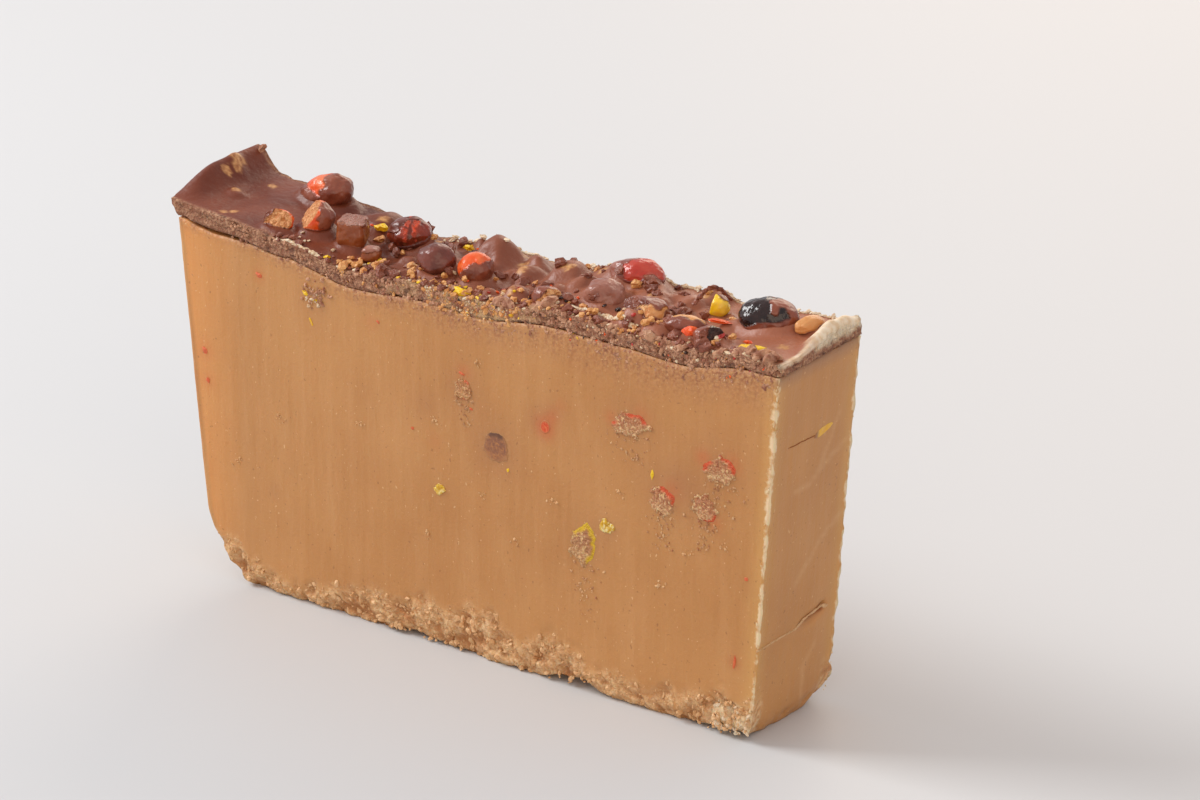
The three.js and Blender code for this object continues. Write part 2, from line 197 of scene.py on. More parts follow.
CRACK_HEIGHT = 20.0
CRACK_RISE = 1.3
CRACK_DEPTH = 1.8


def crack_line(y):
    """Height of the thin crack across the right end."""
    return CRACK_HEIGHT + CRACK_RISE * smooth(y, -2, 9) + 0.25 * rough(y, 2, 0, 4)


def crack_opening(y, z):
    """1 in the wedge where the crack gapes towards the back, and 0 round it."""
    return smooth(y, -1, 5) * (1 - smooth(y, 8.5, 10)) * bell(z - crack_line(y), 0.75)


GAP_X = -63.5
GAP_HALF_LENGTH = 8.5
GAP_REACH = 4
GAP_HEIGHT = 0.75


def lift_gap(x, y):
    """How far the block's top sinks where the chocolate lifts off it at the left."""
    along = max(0.0, 1 - ((x - GAP_X) / GAP_HALF_LENGTH) ** 2)
    inwards = max(0.0, 1 - ((y + HALF_THICKNESS) / GAP_REACH) ** 2)
    return GAP_HEIGHT * math.sqrt(along * inwards)


def deselect():
    for chosen in bpy.context.selected_objects:
        chosen.select_set(False)


SAME_PLACE = 1e-6


def grid_box(name, steps):
    """A cube of side 1 whose faces are divided into that many steps along X, Y and Z."""
    deselect()
    bpy.ops.mesh.primitive_cube_add(size=1, location=(0, 0, 0))
    box = bpy.context.object
    box.name = name
    shape = bmesh.new()
    shape.from_mesh(box.data)
    for axis, count in enumerate(steps):
        along = []
        for edge in shape.edges:
            low, high = (vertex.co for vertex in edge.verts)
            if abs(high[axis] - low[axis]) > SAME_PLACE:
                along.append(edge)
        bmesh.ops.subdivide_edges(shape, edges=along, cuts=count - 1, use_grid_fill=True)
    shape.to_mesh(box.data)
    shape.free()
    return box


def move_vertices(piece, place):
    """Moves each vertex of a cube of side 1 to place(x, y, z), which is in millimetres."""
    count = len(piece.data.vertices)
    flat = [0.0] * (3 * count)
    piece.data.vertices.foreach_get("co", flat)
    for start in range(0, 3 * count, 3):
        moved = place(*flat[start:start + 3])
        flat[start:start + 3] = [length * MM for length in moved]
    piece.data.vertices.foreach_set("co", flat)
    piece.data.update()


def write_mask(piece, name, values):
    """A vertex attribute from one value for each vertex."""
    piece.data.attributes.new(name, "FLOAT", "POINT").data.foreach_set("value", values)


def add_mask(piece, name, value):
    """A vertex attribute from value(x, y, z) in millimetres."""
    write_mask(piece, name, [value(*(vertex.co / MM)) for vertex in piece.data.vertices])


BURR_HEIGHT = 0.35


def burr(y, z):
    """Share of its height that the ragged burr has along the upright edges of the right end."""
    from_face = HALF_THICKNESS - abs(y)
    return bell(from_face, 0.8) * max(0.0, 0.5 + rough(5, y, z, 3) + 0.6 * rough(9, y, z, 1.1))


BLOCK_STEPS = (258, 44, 92)
CLOSER_BELOW = 1.25


def block_place(along, across, up):
    """Place in millimetres of a point of the cube; the rows are closer near the foot."""
    share = (up + 0.5) ** CLOSER_BELOW
    level = share * NOMINAL_HEIGHT
    across += 0.5
    y_plane = mix(-HALF_THICKNESS, HALF_THICKNESS, across)
    left = block_left(level) + end_relief(y_plane, level)
    right = right_end(y_plane, level) - CRACK_DEPTH * crack_opening(y_plane, level)
    right += BURR_HEIGHT * burr(y_plane, level)
    x = mix(left, right, along + 0.5)
    back = HALF_THICKNESS - face_relief(x, level, 1)
    y = mix(front_face(x, level), back, across)
    top = chocolate_underside(x, y) - CLEARANCE - lift_gap(x, y)
    return x, y, mix(block_base(x, y), top, share)


block = grid_box("fudge_block", BLOCK_STEPS)
move_vertices(block, block_place)


def foot_mask(x, y, z):
    """1 on the crumbly foot of the two large faces."""
    return crumbliness(x, z) * smooth(abs(y), 9, 11)


def pit_shade_mask(x, y, z):
    """1 in the deepest crags of the foot and 0 on their tops; shade is painted where it is 1."""
    side = -1 if y < 0 else 1
    return smooth(foot_crags(x, z, side), -0.1, 1.3) * foot_mask(x, y, z)


def below_chocolate(x, y, z):
    """Depth under the chocolate in millimetres."""
    return chocolate_underside(x, y) - z


def end_mask(x, y, z):
    """1 on the right end."""
    return smooth(x, block_right(z) - 0.9, block_right(z) - 0.5)


def left_end_mask(x, y, z):
    """1 on the left end."""
    return 1 - smooth(x, block_left(z) + 0.7, block_left(z) + 1.8)


def crack_shade_mask(x, y, z):
    """1 in the open part of the crack, which lies up to 2 mm inside the end; shade is painted there.
    """
    return crack_opening(y, z) * end_mask(x + 2, y, z)


# Faint pale lines across the right end, as (y, z) along each
END_TRACES = [
    [(8.9, 62.8), (2.7, 52.2), (0, 50.4), (-4.8, 50.2)],
    [(13.3, 56.8), (5.9, 53.8), (2.7, 52.2)],
    [(13.1, 41.0), (5.3, 36.9), (-1.8, 29.8)],
    [(6.8, 14.6), (2.8, 10.3), (3.6, 3.8)],
]


def line_distance(point, start, stop):
    """Distance from a point to the straight line between two others."""
    along = Vector(stop) - Vector(start)
    share = (Vector(point) - Vector(start)).dot(along) / along.length_squared
    nearest = Vector(start) + along * min(1.0, max(0.0, share))
    return (Vector(point) - nearest).length


def trace_mask(x, y, z):
    """1 along the faint lines across the right end."""
    if x < block_right(z) - 2:
        return 0.0
    wander = 0.8 * rough(y, z, 3, 4)
    return max(bell(line_distance((y + wander, z), start, stop), 0.6)
               for line in END_TRACES for start, stop in zip(line, line[1:]))


def edge_glow_mask(x, y, z):
    """1 at the upright edges of the right end, where the fudge is thin and lets light through."""
    from_end = max(0.0, block_right(z) - x)
    from_face = HALF_THICKNESS - abs(y)
    return bell(math.hypot(from_end, from_face), 2.6)


def ridge_mask(x, y, z):
    """1 on the pale burr that the knife left down the edges of the right end."""
    from_end = block_right(z) - x
    from_face = HALF_THICKNESS - abs(y)
    ragged = 0.5 + 0.7 * rough(5, y, z, 3) + 0.4 * rough(9, y, z, 1.1)
    width = 0.6 + 0.4 * smooth(z, 40, 60) + 0.3 * rough(3, y, z, 5)
    near = bell(max(0.0, from_end), width) * bell(max(0.0, from_face), width)
    return near * min(1.0, max(0.0, 0.15 + ragged))


# Soft stains in the front face: x, z, reach and depth
STAINS = [
    (9.6, 46.7, 6.5, 0.8), (20.8, 54.6, 3.4, 0.8), (42.8, 60.0, 6.0, 0.5), (50.0, 47.0, 5.0, 0.5),
    (63.0, 56.0, 6.0, 0.5), (59.0, 46.5, 5.0, 0.5), (31.4, 32.0, 5.5, 0.25), (37.2, 35.5, 3.2, 0.4),
    (1.5, 57.2, 4.5, 0.6), (-8.4, 52.0, 3.4, 0.5), (-38.0, 68.6, 4.5, 0.5), (24.5, 57.5, 2.6, 0.4),
    (54.5, 50.5, 3.5, 0.5), (-49.9, 23.5, 2.0, 0.4), (67.8, 16.2, 1.8, 0.4),
]

# Shell colour that bled into the front face: x, z, reach and depth
BLEEDS = [
    (22.0, 53.8, 2.2, 0.8), (24.0, 56.6, 1.5, 0.35), (26.0, 59.2, 1.4, 0.2), (45.4, 61.2, 1.9, 0.35),
    (38.2, 59.4, 1.5, 0.35), (66.7, 56.4, 2.0, 0.4), (60.0, 56.2, 1.6, 0.5), (52.7, 47.8, 1.9, 0.4),
    (62.6, 43.8, 1.6, 0.4), (1.8, 61.0, 1.6, 0.35), (-68.4, 51.0, 2.2, 0.3), (-67.9, 44.5, 1.8, 0.3),
    (-52.6, 70.5, 1.4, 0.35), (-22.0, 66.4, 1.6, 0.2), (-6.0, 44.5, 1.8, 0.15), (67.8, 16.2, 1.2, 0.4),
]
FACE_DEPTH = 3


def soft_spots(spots):
    """A mask of soft round spots in the front face."""

    def value(x, y, z):
        if y > -HALF_THICKNESS + FACE_DEPTH:
            return 0.0
        return min(1.0, sum(depth * bell(math.hypot(x - at_x, z - at_z), reach)
                            for at_x, at_z, reach, depth in spots))

    return value


def corner_patch_mask(x, y, z):
    """1 on the pale crumbly patch at the foot of the right corner."""
    away = math.hypot((x - 66.5) / 5.2, (z - 3.6) / 4.6) + 0.35 * rough(x, y, z, 2.2)
    return (1 - smooth(away, 0.7, 1.1)) * (1 - smooth(y, -11, -9))


BLOCK_MASKS = {
    "end": end_mask, "left_end": left_end_mask, "crack_shade": crack_shade_mask, "trace": trace_mask,
    "edge_glow": edge_glow_mask, "bleed": soft_spots(BLEEDS), "patch": corner_patch_mask,
    "crumbly": foot_mask, "pit": pit_shade_mask, "below": below_chocolate, "ridge": ridge_mask,
    "stain": soft_spots(STAINS),
}
for name, mask in BLOCK_MASKS.items():
    add_mask(block, name, mask)
bpy.ops.object.shade_smooth()


def linear(hex_colour):
    """Linear colour of an sRGB hex colour."""
    shares = [int(hex_colour[start:start + 2], 16) / 255 for start in (1, 3, 5)]
    straight = [s / 12.92 if s <= 0.04045 else ((s + 0.055) / 1.055) ** 2.4 for s in shares]
    return (*straight, 1.0)


def set_inputs(tree, node, inputs):
    """Sets a node's inputs to values, or links them to other nodes' outputs."""
    for socket, value in inputs.items():
        if isinstance(value, bpy.types.NodeSocket):
            tree.links.new(value, node.inputs[socket])
        else:
            node.inputs[socket].default_value = value


def add_node(tree, kind, inputs, **settings):
    """A shader node with its inputs and settings."""
    node = tree.nodes.new(kind)
    for name, value in settings.items():
        setattr(node, name, value)
    set_inputs(tree, node, inputs)
    return node


def new_material(name):
    """A material with a bare Principled shader, and its node tree."""
    material = bpy.data.materials.new(name)
    material.use_nodes = True
    return material, material.node_tree


def finish_shader(tree, colour, roughness, normal, glow, shine=0.5):
    """Sets the Principled shader; glow is the weight, radius and scale of its subsurface."""
    weight, radius, scale = glow
    set_inputs(tree, tree.nodes["Principled BSDF"], {
        "Base Color": colour, "Roughness": roughness, "Normal": normal,
        "Subsurface Weight": weight, "Subsurface Radius": radius, "Subsurface Scale": scale,
        "Specular IOR Level": shine})


def object_place(tree, stretch=(1, 1, 1)):
    """Place on the object in metres, multiplied by stretch."""
    coordinates = add_node(tree, "ShaderNodeTexCoord", {})
    scaled = add_node(
        tree, "ShaderNodeMapping", {"Vector": coordinates.outputs["Object"], "Scale": stretch})
    return scaled.outputs["Vector"]


def fade(tree, value, start, end, first=0.0, second=1.0):
    """Maps value from start..end to first..second."""
    node = add_node(tree, "ShaderNodeMapRange", {
        "Value": value, "From Min": start, "From Max": end, "To Min": first, "To Max": second})
    return node.outputs["Result"]


def speckle(tree, scale, low, high, detail=3.0, stretch=(1, 1, 1)):
    """Noise on the object made into patches: 0 below low and 1 above high."""
    texture = add_node(tree, "ShaderNodeTexNoise", {
        "Vector": object_place(tree, stretch), "Scale": scale, "Detail": detail})
    return fade(tree, texture.outputs["Fac"], low, high)


def calculate(tree, operation, first, second):
    node = add_node(tree, "ShaderNodeMath", {0: first, 1: second}, operation=operation)
    return node.outputs[0]


def blend_colour(tree, share, first, second):
    """Colour mixed from first to second; each is a hex colour or an output socket."""
    colours = [linear(c) if isinstance(c, str) else c for c in (first, second)]
    node = add_node(
        tree, "ShaderNodeMix", {0: share, 6: colours[0], 7: colours[1]}, data_type="RGBA")
    return node.outputs[2]


def tint(tree, colour, mask, weight, second):
    """Colour mixed towards a second one by a mask times a weight."""
    return blend_colour(tree, calculate(tree, "MULTIPLY", mask, weight), colour, second)


def mask_of(tree, name):
    attribute = add_node(tree, "ShaderNodeAttribute", {}, attribute_name=name)
    return attribute.outputs["Fac"]


def add_bump(tree, height, distance, strength=1.0, normal=None):
    inputs = {"Height": height, "Distance": distance, "Strength": strength}
    if normal:
        inputs["Normal"] = normal
    return add_node(tree, "ShaderNodeBump", inputs).outputs["Normal"]


# Peanut butter fudge: dense, satin and slightly translucent, with a painted warm glow of light near
# the left end, soft mottling, pale crumbs over painted shade in the pits of the foot, and brown dust
# dragged down under the chocolate.
fudge, tree = new_material("peanut_butter_fudge")
along = add_node(tree, "ShaderNodeSeparateXYZ", {"Vector": object_place(tree)}).outputs["X"]
below = mask_of(tree, "below")
end = mask_of(tree, "end")
crumbly = mask_of(tree, "crumbly")
grain = speckle(tree, 1000, 0.35, 0.65)

# Cut faces: mottled, streaked by the knife, with a painted warm glow of light near the left end,
# stains, and painted shade in a crack
mottle = speckle(tree, 45, 0.3, 0.7)
colour = blend_colour(tree, mottle, "#b57d44", "#bf884e")
streaks = speckle(tree, 220, 0.45, 0.7, stretch=(1, 1, 0.15))
colour = tint(tree, colour, streaks, 0.25, "#c99662")
# Painted glow: lighter and more orange near the left end, standing for light shining through the fudge
colour = tint(tree, colour, fade(tree, along, -0.058, -0.076), 0.85, "#dd9650")
left_shade = speckle(tree, 130, 0.35, 0.65, stretch=(1, 1, 0.3))
left_colour = blend_colour(tree, left_shade, "#b27a42", "#bd8a50")
colour = blend_colour(tree, mask_of(tree, "left_end"), colour, left_colour)
FACE_TINTS = [
    ("stain", 0.55, "#a06a44"), ("bleed", 0.85, "#c65a28"), ("edge_glow", 0.55, "#cf9f5a"),
    ("trace", 0.4, "#cfa274"),
]
for name, weight, second in FACE_TINTS:
    colour = tint(tree, colour, mask_of(tree, name), weight, second)
# Painted shade in the open crack of the right end
colour = blend_colour(tree, fade(tree, mask_of(tree, "crack_shade"), 0.35, 0.8), colour, "#95501c")

# Crumbly foot, with painted shade in its deepest crags, and the pale patch at the right corner
crumb_colour = blend_colour(tree, grain, "#c28d58", "#e0b888")
crumb_colour = blend_colour(tree, mask_of(tree, "pit"), crumb_colour, "#ae7340")
colour = blend_colour(tree, crumbly, colour, crumb_colour)
patch = mask_of(tree, "patch")
colour = tint(tree, colour, patch, fade(tree, grain, 0, 1, 0.25, 0.9), "#e2c69c")

# Chocolate dust under the layer, which reaches further down towards the right
reach = fade(tree, along, -0.050, 0.040, 3.0, 9.0)
drags = speckle(tree, 520, 0.35, 0.65, stretch=(1, 1, 0.25))
dust = calculate(tree, "SUBTRACT", 1.0, calculate(tree, "DIVIDE", below, reach))
dust = calculate(tree, "MULTIPLY", fade(tree, dust, 0, 1), fade(tree, drags, 0, 1, 0.25, 1.1))
dust = calculate(tree, "MULTIPLY", dust, calculate(tree, "SUBTRACT", 1.0, end))
dust_colour = blend_colour(tree, speckle(tree, 1500, 0.40, 0.60), "#965c3e", "#b98658")
colour = blend_colour(tree, dust, colour, dust_colour)
end_dust = calculate(tree, "MULTIPLY", fade(tree, below, 3.6, 0.2), end)
colour = tint(tree, colour, end_dust, 0.75, "#8d6a54")

# Pale burr on the edges of the right end, and fine specks all over
ridge_grain = speckle(tree, 900, 0.35, 0.65)
ridge = calculate(tree, "ADD", mask_of(tree, "ridge"), fade(tree, ridge_grain, 0, 1, -0.2, 0.15))
colour = blend_colour(tree, fade(tree, ridge, 0.25, 0.6), colour, "#e2cba4")
colour = tint(tree, colour, speckle(tree, 1100, 0.69, 0.73, 2.0), 0.5, "#8d5a32")
pale_specks = speckle(tree, 1250, 0.70, 0.74, 2.0, stretch=(1.1, 1.3, 0.9))
colour = tint(tree, colour, pale_specks, 0.6, "#ddb888")

# Fine pores and ripples, and coarser grain where it is crumbly or dusty
pores = speckle(tree, 1600, 0.3, 0.7)
ripples = speckle(tree, 500, 0.3, 0.7, stretch=(1, 1, 0.12))
fine = calculate(tree, "ADD", calculate(tree, "MULTIPLY", pores, 0.4), ripples)
bumps = add_bump(tree, fine, 0.00012, 0.7)
uneven = calculate(tree, "MAXIMUM", crumbly, fade(tree, dust, 0, 1.0, 0, 0.7))
uneven = calculate(tree, "MAXIMUM", uneven, patch)
bumps = add_bump(tree, grain, 0.0004, fade(tree, uneven, 0, 1, 0.04, 0.8), bumps)
FUDGE_GLOW = (0.25, (1.0, 0.5, 0.22), 0.0022)
finish_shader(tree, colour, fade(tree, uneven, 0, 1, 0.46, 0.68), bumps, FUDGE_GLOW)


def finish_piece(piece, material, node, slot):
    """Gives a finished piece its material and its place in the frame; slot is not used."""
    piece.data.materials.clear()
    piece.data.materials.append(material)
    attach(piece, "root")
    if node:
        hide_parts(node)


finish_piece(block, fudge, "fudge", "fudge")

# Milk chocolate layer
# One thin layer of set milk chocolate that runs through the whole slice, higher at its left rim,
# swollen over buried nuts and round each topping, and broken and crumbly along the knife's cuts.

# Each topping: place, size and turn
TOPPINGS = {
    "candy_orange_patch": ((-52.4, 8.4, 83.0), (14.0, 8.6, 7.8), -4),
    "candy_half_orange": ((-44.3, -4.4, 82.2), (7.6, 7.2, 6.8), 20),
    "candy_small_half": ((-50.7, -8.9, 81.4), (6.6, 5.4, 4.8), 10),
    "nut_square": ((-35.2, -3.6, 80.9), (5.8, 5.8, 6.4), 24),
    "candy_streaked": ((-25.6, 2.8, 80.5), (9.4, 8.4, 6.8), 15),
    "nut_small_front": ((-27.2, -7.2, 78.3), (4.0, 3.4, 3.2), 30),
    "candy_brown_ball": ((-10.4, -6.9, 80.2), (8.3, 7.0, 6.5), 5),
    "candy_orange_ball": ((-1.7, -5.1, 79.6), (7.3, 7.2, 6.8), 0),
    "nut_front_coated": ((19.6, -9.6, 79.0), (6.4, 4.8, 4.2), -8),
    "candy_red_back": ((28.4, 8.3, 80.9), (12.0, 8.2, 6.2), 3),
    "nut_brown_lump": ((28.9, -3.2, 79.7), (7.8, 7.0, 6.0), 12),
    "nut_tan_lump": ((40.8, -6.0, 79.4), (9.4, 7.0, 5.8), 6),
    "nut_long": ((51.0, -6.7, 78.7), (8.6, 4.8, 4.4), 24),
    "candy_yellow_half": ((50.7, 4.0, 79.9), (4.6, 4.4, 4.6), 0),
    "candy_black_chunk": ((58.7, -9.9, 78.5), (6.4, 5.2, 4.8), -20),
    "candy_dark_large": ((63.2, 2.8, 80.4), (12.2, 9.8, 7.8), 10),
    "peanut_right": ((71.8, 4.2, 80.3), (7.2, 3.8, 3.6), 78),
}

# Swellings over buried nuts: x, y, radius and rise
LUMPS = [
    (-4.6, 6.0, 4.4, 5.2), (3.6, 8.4, 2.4, 2.6), (5.8, 2.6, 2.6, 2.4), (13.4, 5.4, 3.8, 3.0),
    (11.0, -8.6, 2.2, 2.6), (20.5, 8.6, 2.8, 1.8), (19.5, 0.8, 2.6, 1.6), (-37.0, 8.4, 4.0, 2.4),
    (-17.5, 3.2, 2.4, 1.3), (36.6, 3.4, 3.2, 1.9), (43.6, 5.6, 2.6, 1.8), (-74.0, 4.0, 1.9, 0.9),
    (-68.6, -1.6, 1.7, 0.8), (70.5, -9.6, 3.0, 0.9),
]


SMALL_LUMP_COUNT = 60


def small_lumps(count, seed):
    """Small nuts buried at random in the busy middle of the layer."""
    chance = random.Random(seed)
    lumps = []
    for _ in range(count):
        radius = chance.uniform(1.1, 2.3)
        x = chance.uniform(-34, 60)
        y = mix(-10.5, 11.5, chance.random() ** 1.2)
        lumps.append((x, y, radius, radius * chance.uniform(0.5, 0.95)))
    return lumps


ALL_LUMPS = LUMPS + small_lumps(SMALL_LUMP_COUNT, 5)


def dome(distance, radius):
    """A round-topped swelling with a soft foot."""
    return 0.45 * bell(distance, radius) + 0.55 * math.exp(-((distance / radius / 1.05) ** 4))


def collar(x, y, at, size):
    """Chocolate that climbs the flank of a topping."""
    reach_x = size[0] / 2
    reach_y = size[1] / 2
    away = math.hypot((x - at[0]) / reach_x, (y - at[1]) / reach_y)
    outside = (away - 0.92) * (reach_x + reach_y) / 2
    return bell(max(0.0, outside), 1.1)


LEFT_RIM_HEIGHT = 4.6
LEFT_RIM_WIDTH = 3.2
LEFT_RIM_INSET = 1.5
RIGHT_RIM_HEIGHT = 2.9
RIGHT_RIM_WIDTH = 1.7
RIGHT_RIM_INSET = 1.1


def rims(x, y):
    """Height of the raised rims at the two ends, which fade out towards the front."""
    from_left = x + HALF_LENGTH - LEFT_RIM_INSET
    from_right = HALF_LENGTH - RIGHT_RIM_INSET - x
    left = LEFT_RIM_HEIGHT * smooth(y, -14.5, 0) * bell(from_left, LEFT_RIM_WIDTH)
    right = RIGHT_RIM_HEIGHT * smooth(y, -8, 3) * (1 - 0.5 * smooth(y, 8, 13))
    lumpy = 1 + 0.12 * rough(7, y, 0, 5)
    return left + right * bell(from_right, RIGHT_RIM_WIDTH) * lumpy


COLLAR_SHARE = 0.2


def chocolate_top(x, y):
    """Height of the poured top: rims, waves, swellings over nuts and collars round toppings."""
    height = slab_level(x, y) + rims(x, y)
    bumpy = smooth(x, -32, -18) * (1 - smooth(x, 60, 68))
    height += 0.35 * rough(x, y, 27, 9) + bumpy * 0.55 * rough(x, y, 5, 3.6)
    warp_x = x + 0.9 * rough(x, y, 8, 4)
    warp_y = y + 0.9 * rough(x, y, 18, 4)
    swelling = 0.0
    for lump_x, lump_y, radius, rise in ALL_LUMPS:
        distance = math.hypot(warp_x - lump_x, warp_y - lump_y)
        if distance < 2.5 * radius:
            lump = rise * dome(distance, radius)
            swelling = max(swelling, lump) + 0.35 * min(swelling, lump)
    height += swelling
    climb = 0.0
    for at, size, _ in TOPPINGS.values():
        if abs(x - at[0]) < size[0]:
            climb = max(climb, COLLAR_SHARE * size[2] * collar(x, y, at, size))
    return height + climb


def edge_break(x, up, side):
    """How far the broken edge of the layer lies inside the face."""
    bite = max(0.0, rough(x, side * 20, up * 9, 3.1))
    return bite + 0.35 * (1 - grains(x, side * 5, up * 3, 1.6)) * smooth(up, 0.1, 0.6)


LAYER_STEPS = (380, 64, 6)
LAYER_LEFT_SLANT = 2.1


def layer_place(along, across, up):
    """Place in millimetres of a point of the cube."""
    up += 0.5
    left = -HALF_LENGTH + LAYER_LEFT_SLANT * (1 - up)
    ragged = 0.5 * crags(0, across * THICKNESS, up * 3, 3)
    x = mix(left + max(0.0, ragged), HALF_LENGTH - max(0.0, ragged), along + 0.5)
    front = -HALF_THICKNESS + edge_break(x, up, -1)
    back = HALF_THICKNESS - edge_break(x, up, 1)
    y = mix(front, back, across + 0.5)
    return x, y, mix(chocolate_underside(x, y), chocolate_top(x, y), up)


layer = grid_box("chocolate_layer", LAYER_STEPS)
move_vertices(layer, layer_place)


def brokenness(x, y, z):
    """1 on the broken edge of the layer and 0 on its poured top."""
    ragged = 1.0 * rough(x, 31, 0, 4) + 0.7 * rough(x, 41, 0, 1.6)
    near = 1 - smooth(HALF_THICKNESS - abs(y), 0.6, 1.6 + max(0.0, ragged))
    side = 1 - smooth(z, chocolate_top(x, y) - 0.9, chocolate_top(x, y) - 0.3)
    return max(near, side)


CREAM_FROM = 73


def creaminess(x, y, z):
    """1 where fudge was dragged over the right rim."""
    if x < CREAM_FROM:
        return 0.0
    ragged = 0.7 * crags(x, y, z, 2.2, 2)
    thick = smooth(x + ragged, 74.5, 75.2) * smooth(y + 2 * ragged, -3.5, -1)
    thick *= smooth(z + 0.5 * ragged, slab_level(x, y) - 0.9, slab_level(x, y) - 0.5)
    top = chocolate_top(x, y)
    thin = smooth(x + 0.5 * ragged, 76.0, 76.6) * smooth(z + 0.4 * ragged, top - 0.9, top - 0.6)
    return max(thick, 0.75 * thin)


# Worn places over buried nuts: x, y and reach
WINDOWS = [
    (-74.4, 4.3, 2.4), (-73.6, 0.5, 1.6), (-69.0, -1.5, 1.4), (-64.3, -10.8, 1.0),
    (-62.6, -9.1, 1.2), (-66.1, 6.2, 1.3), (1.5, 5.2, 1.6), (14.5, 3.8, 1.7), (4.9, 1.2, 1.4),
    (36.4, 1.9, 1.8), (20.0, 7.4, 1.4), (-17.0, 2.2, 1.3), (44.3, 8.6, 1.8), (-36.4, 7.2, 1.5),
    (28.8, -4.0, 1.2), (-24.0, 10.0, 1.3), (10.5, -9.6, 1.4), (72.0, -5.0, 1.6), (-1.0, 9.5, 1.5),
]


def window_mask(x, y, z):
    """1 where the chocolate over a buried nut is thin or worn off."""
    ragged = 0.5 * crags(x, y, 13, 1.7, 2)
    nearest = max(bell(math.hypot(x - at_x, y - at_y), reach) for at_x, at_y, reach in WINDOWS)
    return smooth(nearest + ragged, 0.55, 0.75) * smooth(nearest, 0.25, 0.5)


add_mask(layer, "window", window_mask)
add_mask(layer, "broken", brokenness)
add_mask(layer, "cream", creaminess)
bpy.ops.object.shade_smooth()

# Milk chocolate: satin and brown where it was poured, paling towards the right with a painted sheen,
# and paler, dry and granular where it broke, with painted shade in small hollows there.
chocolate, tree = new_material("milk_chocolate")
along = add_node(tree, "ShaderNodeSeparateXYZ", {"Vector": object_place(tree)}).outputs["X"]
mottle = speckle(tree, 120, 0.35, 0.65)
poured = blend_colour(tree, mottle, "#672d18", "#783b24")
# Painted sheen: paler towards the right, standing for the top reflecting the light from behind
painted_sheen = fade(tree, along, -0.045, 0.050, 0, 0.9)
poured = blend_colour(tree, painted_sheen, poured, "#a3654a")
window_grain = speckle(tree, 900, 0.35, 0.65)
window_colour = blend_colour(tree, window_grain, "#9c6238", "#cf9a62")
poured = blend_colour(tree, mask_of(tree, "window"), poured, window_colour)
grain = speckle(tree, 1500, 0.35, 0.65)
dry = blend_colour(tree, grain, "#8f5a41", "#c99a78")
dry = tint(tree, dry, speckle(tree, 260, 0.40, 0.62), 0.5, "#8d5940")
nutty = calculate(
    tree, "MULTIPLY", fade(tree, along, -0.022, -0.004), fade(tree, along, 0.026, 0.010))
dry = tint(tree, dry, nutty, speckle(tree, 330, 0.40, 0.58), "#c9a274")
# Painted shade: small darker spots in the broken edge, standing for its hollows
hollow_shade = speckle(tree, 430, 0.58, 0.66, stretch=(1, 1, 1.8))
dry = tint(tree, dry, hollow_shade, 0.7, "#5f392b")
broken = mask_of(tree, "broken")
colour = blend_colour(tree, broken, poured, dry)
cream_colour = blend_colour(tree, speckle(tree, 700, 0.35, 0.65), "#dcc09a", "#ecdcc2")
colour = blend_colour(tree, mask_of(tree, "cream"), colour, cream_colour)
bumps = add_bump(tree, speckle(tree, 500, 0.3, 0.7), 0.00012)
bumps = add_bump(tree, grain, 0.0006, calculate(tree, "MULTIPLY", broken, 0.9), bumps)
CHOCOLATE_GLOW = (0.06, (1.0, 0.4, 0.2), 0.001)
finish_shader(tree, colour, fade(tree, broken, 0, 1, 0.42, 0.8), bumps, CHOCOLATE_GLOW, 0.36)
finish_piece(layer, chocolate, "chocolate", "milk_chocolate")

# Toppings
# Seventeen candies and nuts as large as berries, some chopped, most with chocolate over part of
# them. Each is an uneven rounded lump; a chopping plane flattens the cut ones.


def lump_piece(name, at, size, turn=0, tilt=0, square=2.0, detail=5, seed=0.0, cut=None):
    """An uneven rounded lump; cut is (direction, share of the half height, roughness)."""
    deselect()
    bpy.ops.mesh.primitive_ico_sphere_add(subdivisions=detail, radius=1, location=(0, 0, 0))
    piece = bpy.context.object
    piece.name = name
    turned = Euler((0, math.radians(tilt), math.radians(turn))).to_matrix()
    middle = Vector(at)
    caps = []
    for vertex in piece.data.vertices:
        way = vertex.co.normalized()
        powers = sum(abs(part) ** square for part in way)
        uneven = 1 + 0.11 * noise.noise(way * 1.6 + Vector((seed, 0, 0)))
        uneven += 0.03 * noise.noise(way * 5 + Vector((0, seed, 0)))
        point = way * (powers ** (-1 / square) * uneven / 2)
        point = turned @ Vector([part * length for part, length in zip(point, size)])
        cap = 0.0
        if cut:
            outwards = Vector(cut[0]).normalized()
            distance = cut[1] * size[2] / 2
            beyond = point.dot(outwards) - distance
            if beyond > 0:
                crag = cut[2] * noise.fractal(point / 0.9 + Vector((seed, 3, 0)), 0.8, 2.1, 3)
                point -= outwards * (beyond - crag)
            cap = smooth(beyond, -0.05, 0.1)
        vertex.co = (point + middle) * MM
        caps.append(cap)
    write_mask(piece, "cap", caps)
    bpy.ops.object.shade_smooth()
    return piece


COAT_RAGGED = 0.35
COAT_PITCH = 2.5


def coat_mask(at, towards, share, foot):
    """1 where chocolate covers a lump: on the side towards a direction, and round its foot."""
    middle = Vector(at)
    way = Vector(towards).normalized()

    def value(x, y, z):
        point = Vector((x, y, z))
        uneven = COAT_RAGGED * noise.fractal(point / COAT_PITCH, 0.8, 2.1, 2)
        facing = (point - middle).normalized().dot(way) + uneven
        above = z - chocolate_top(x, y) + 1.2 * uneven
        side = smooth(facing, share - 0.05, share + 0.05)
        return max(side, 1 - smooth(above, foot - 0.15, foot + 0.15))

    return value


MILK = ("#743723", "#8e4d36")
COAT_GLOW = (0.08, (1.0, 0.4, 0.2), 0.001)


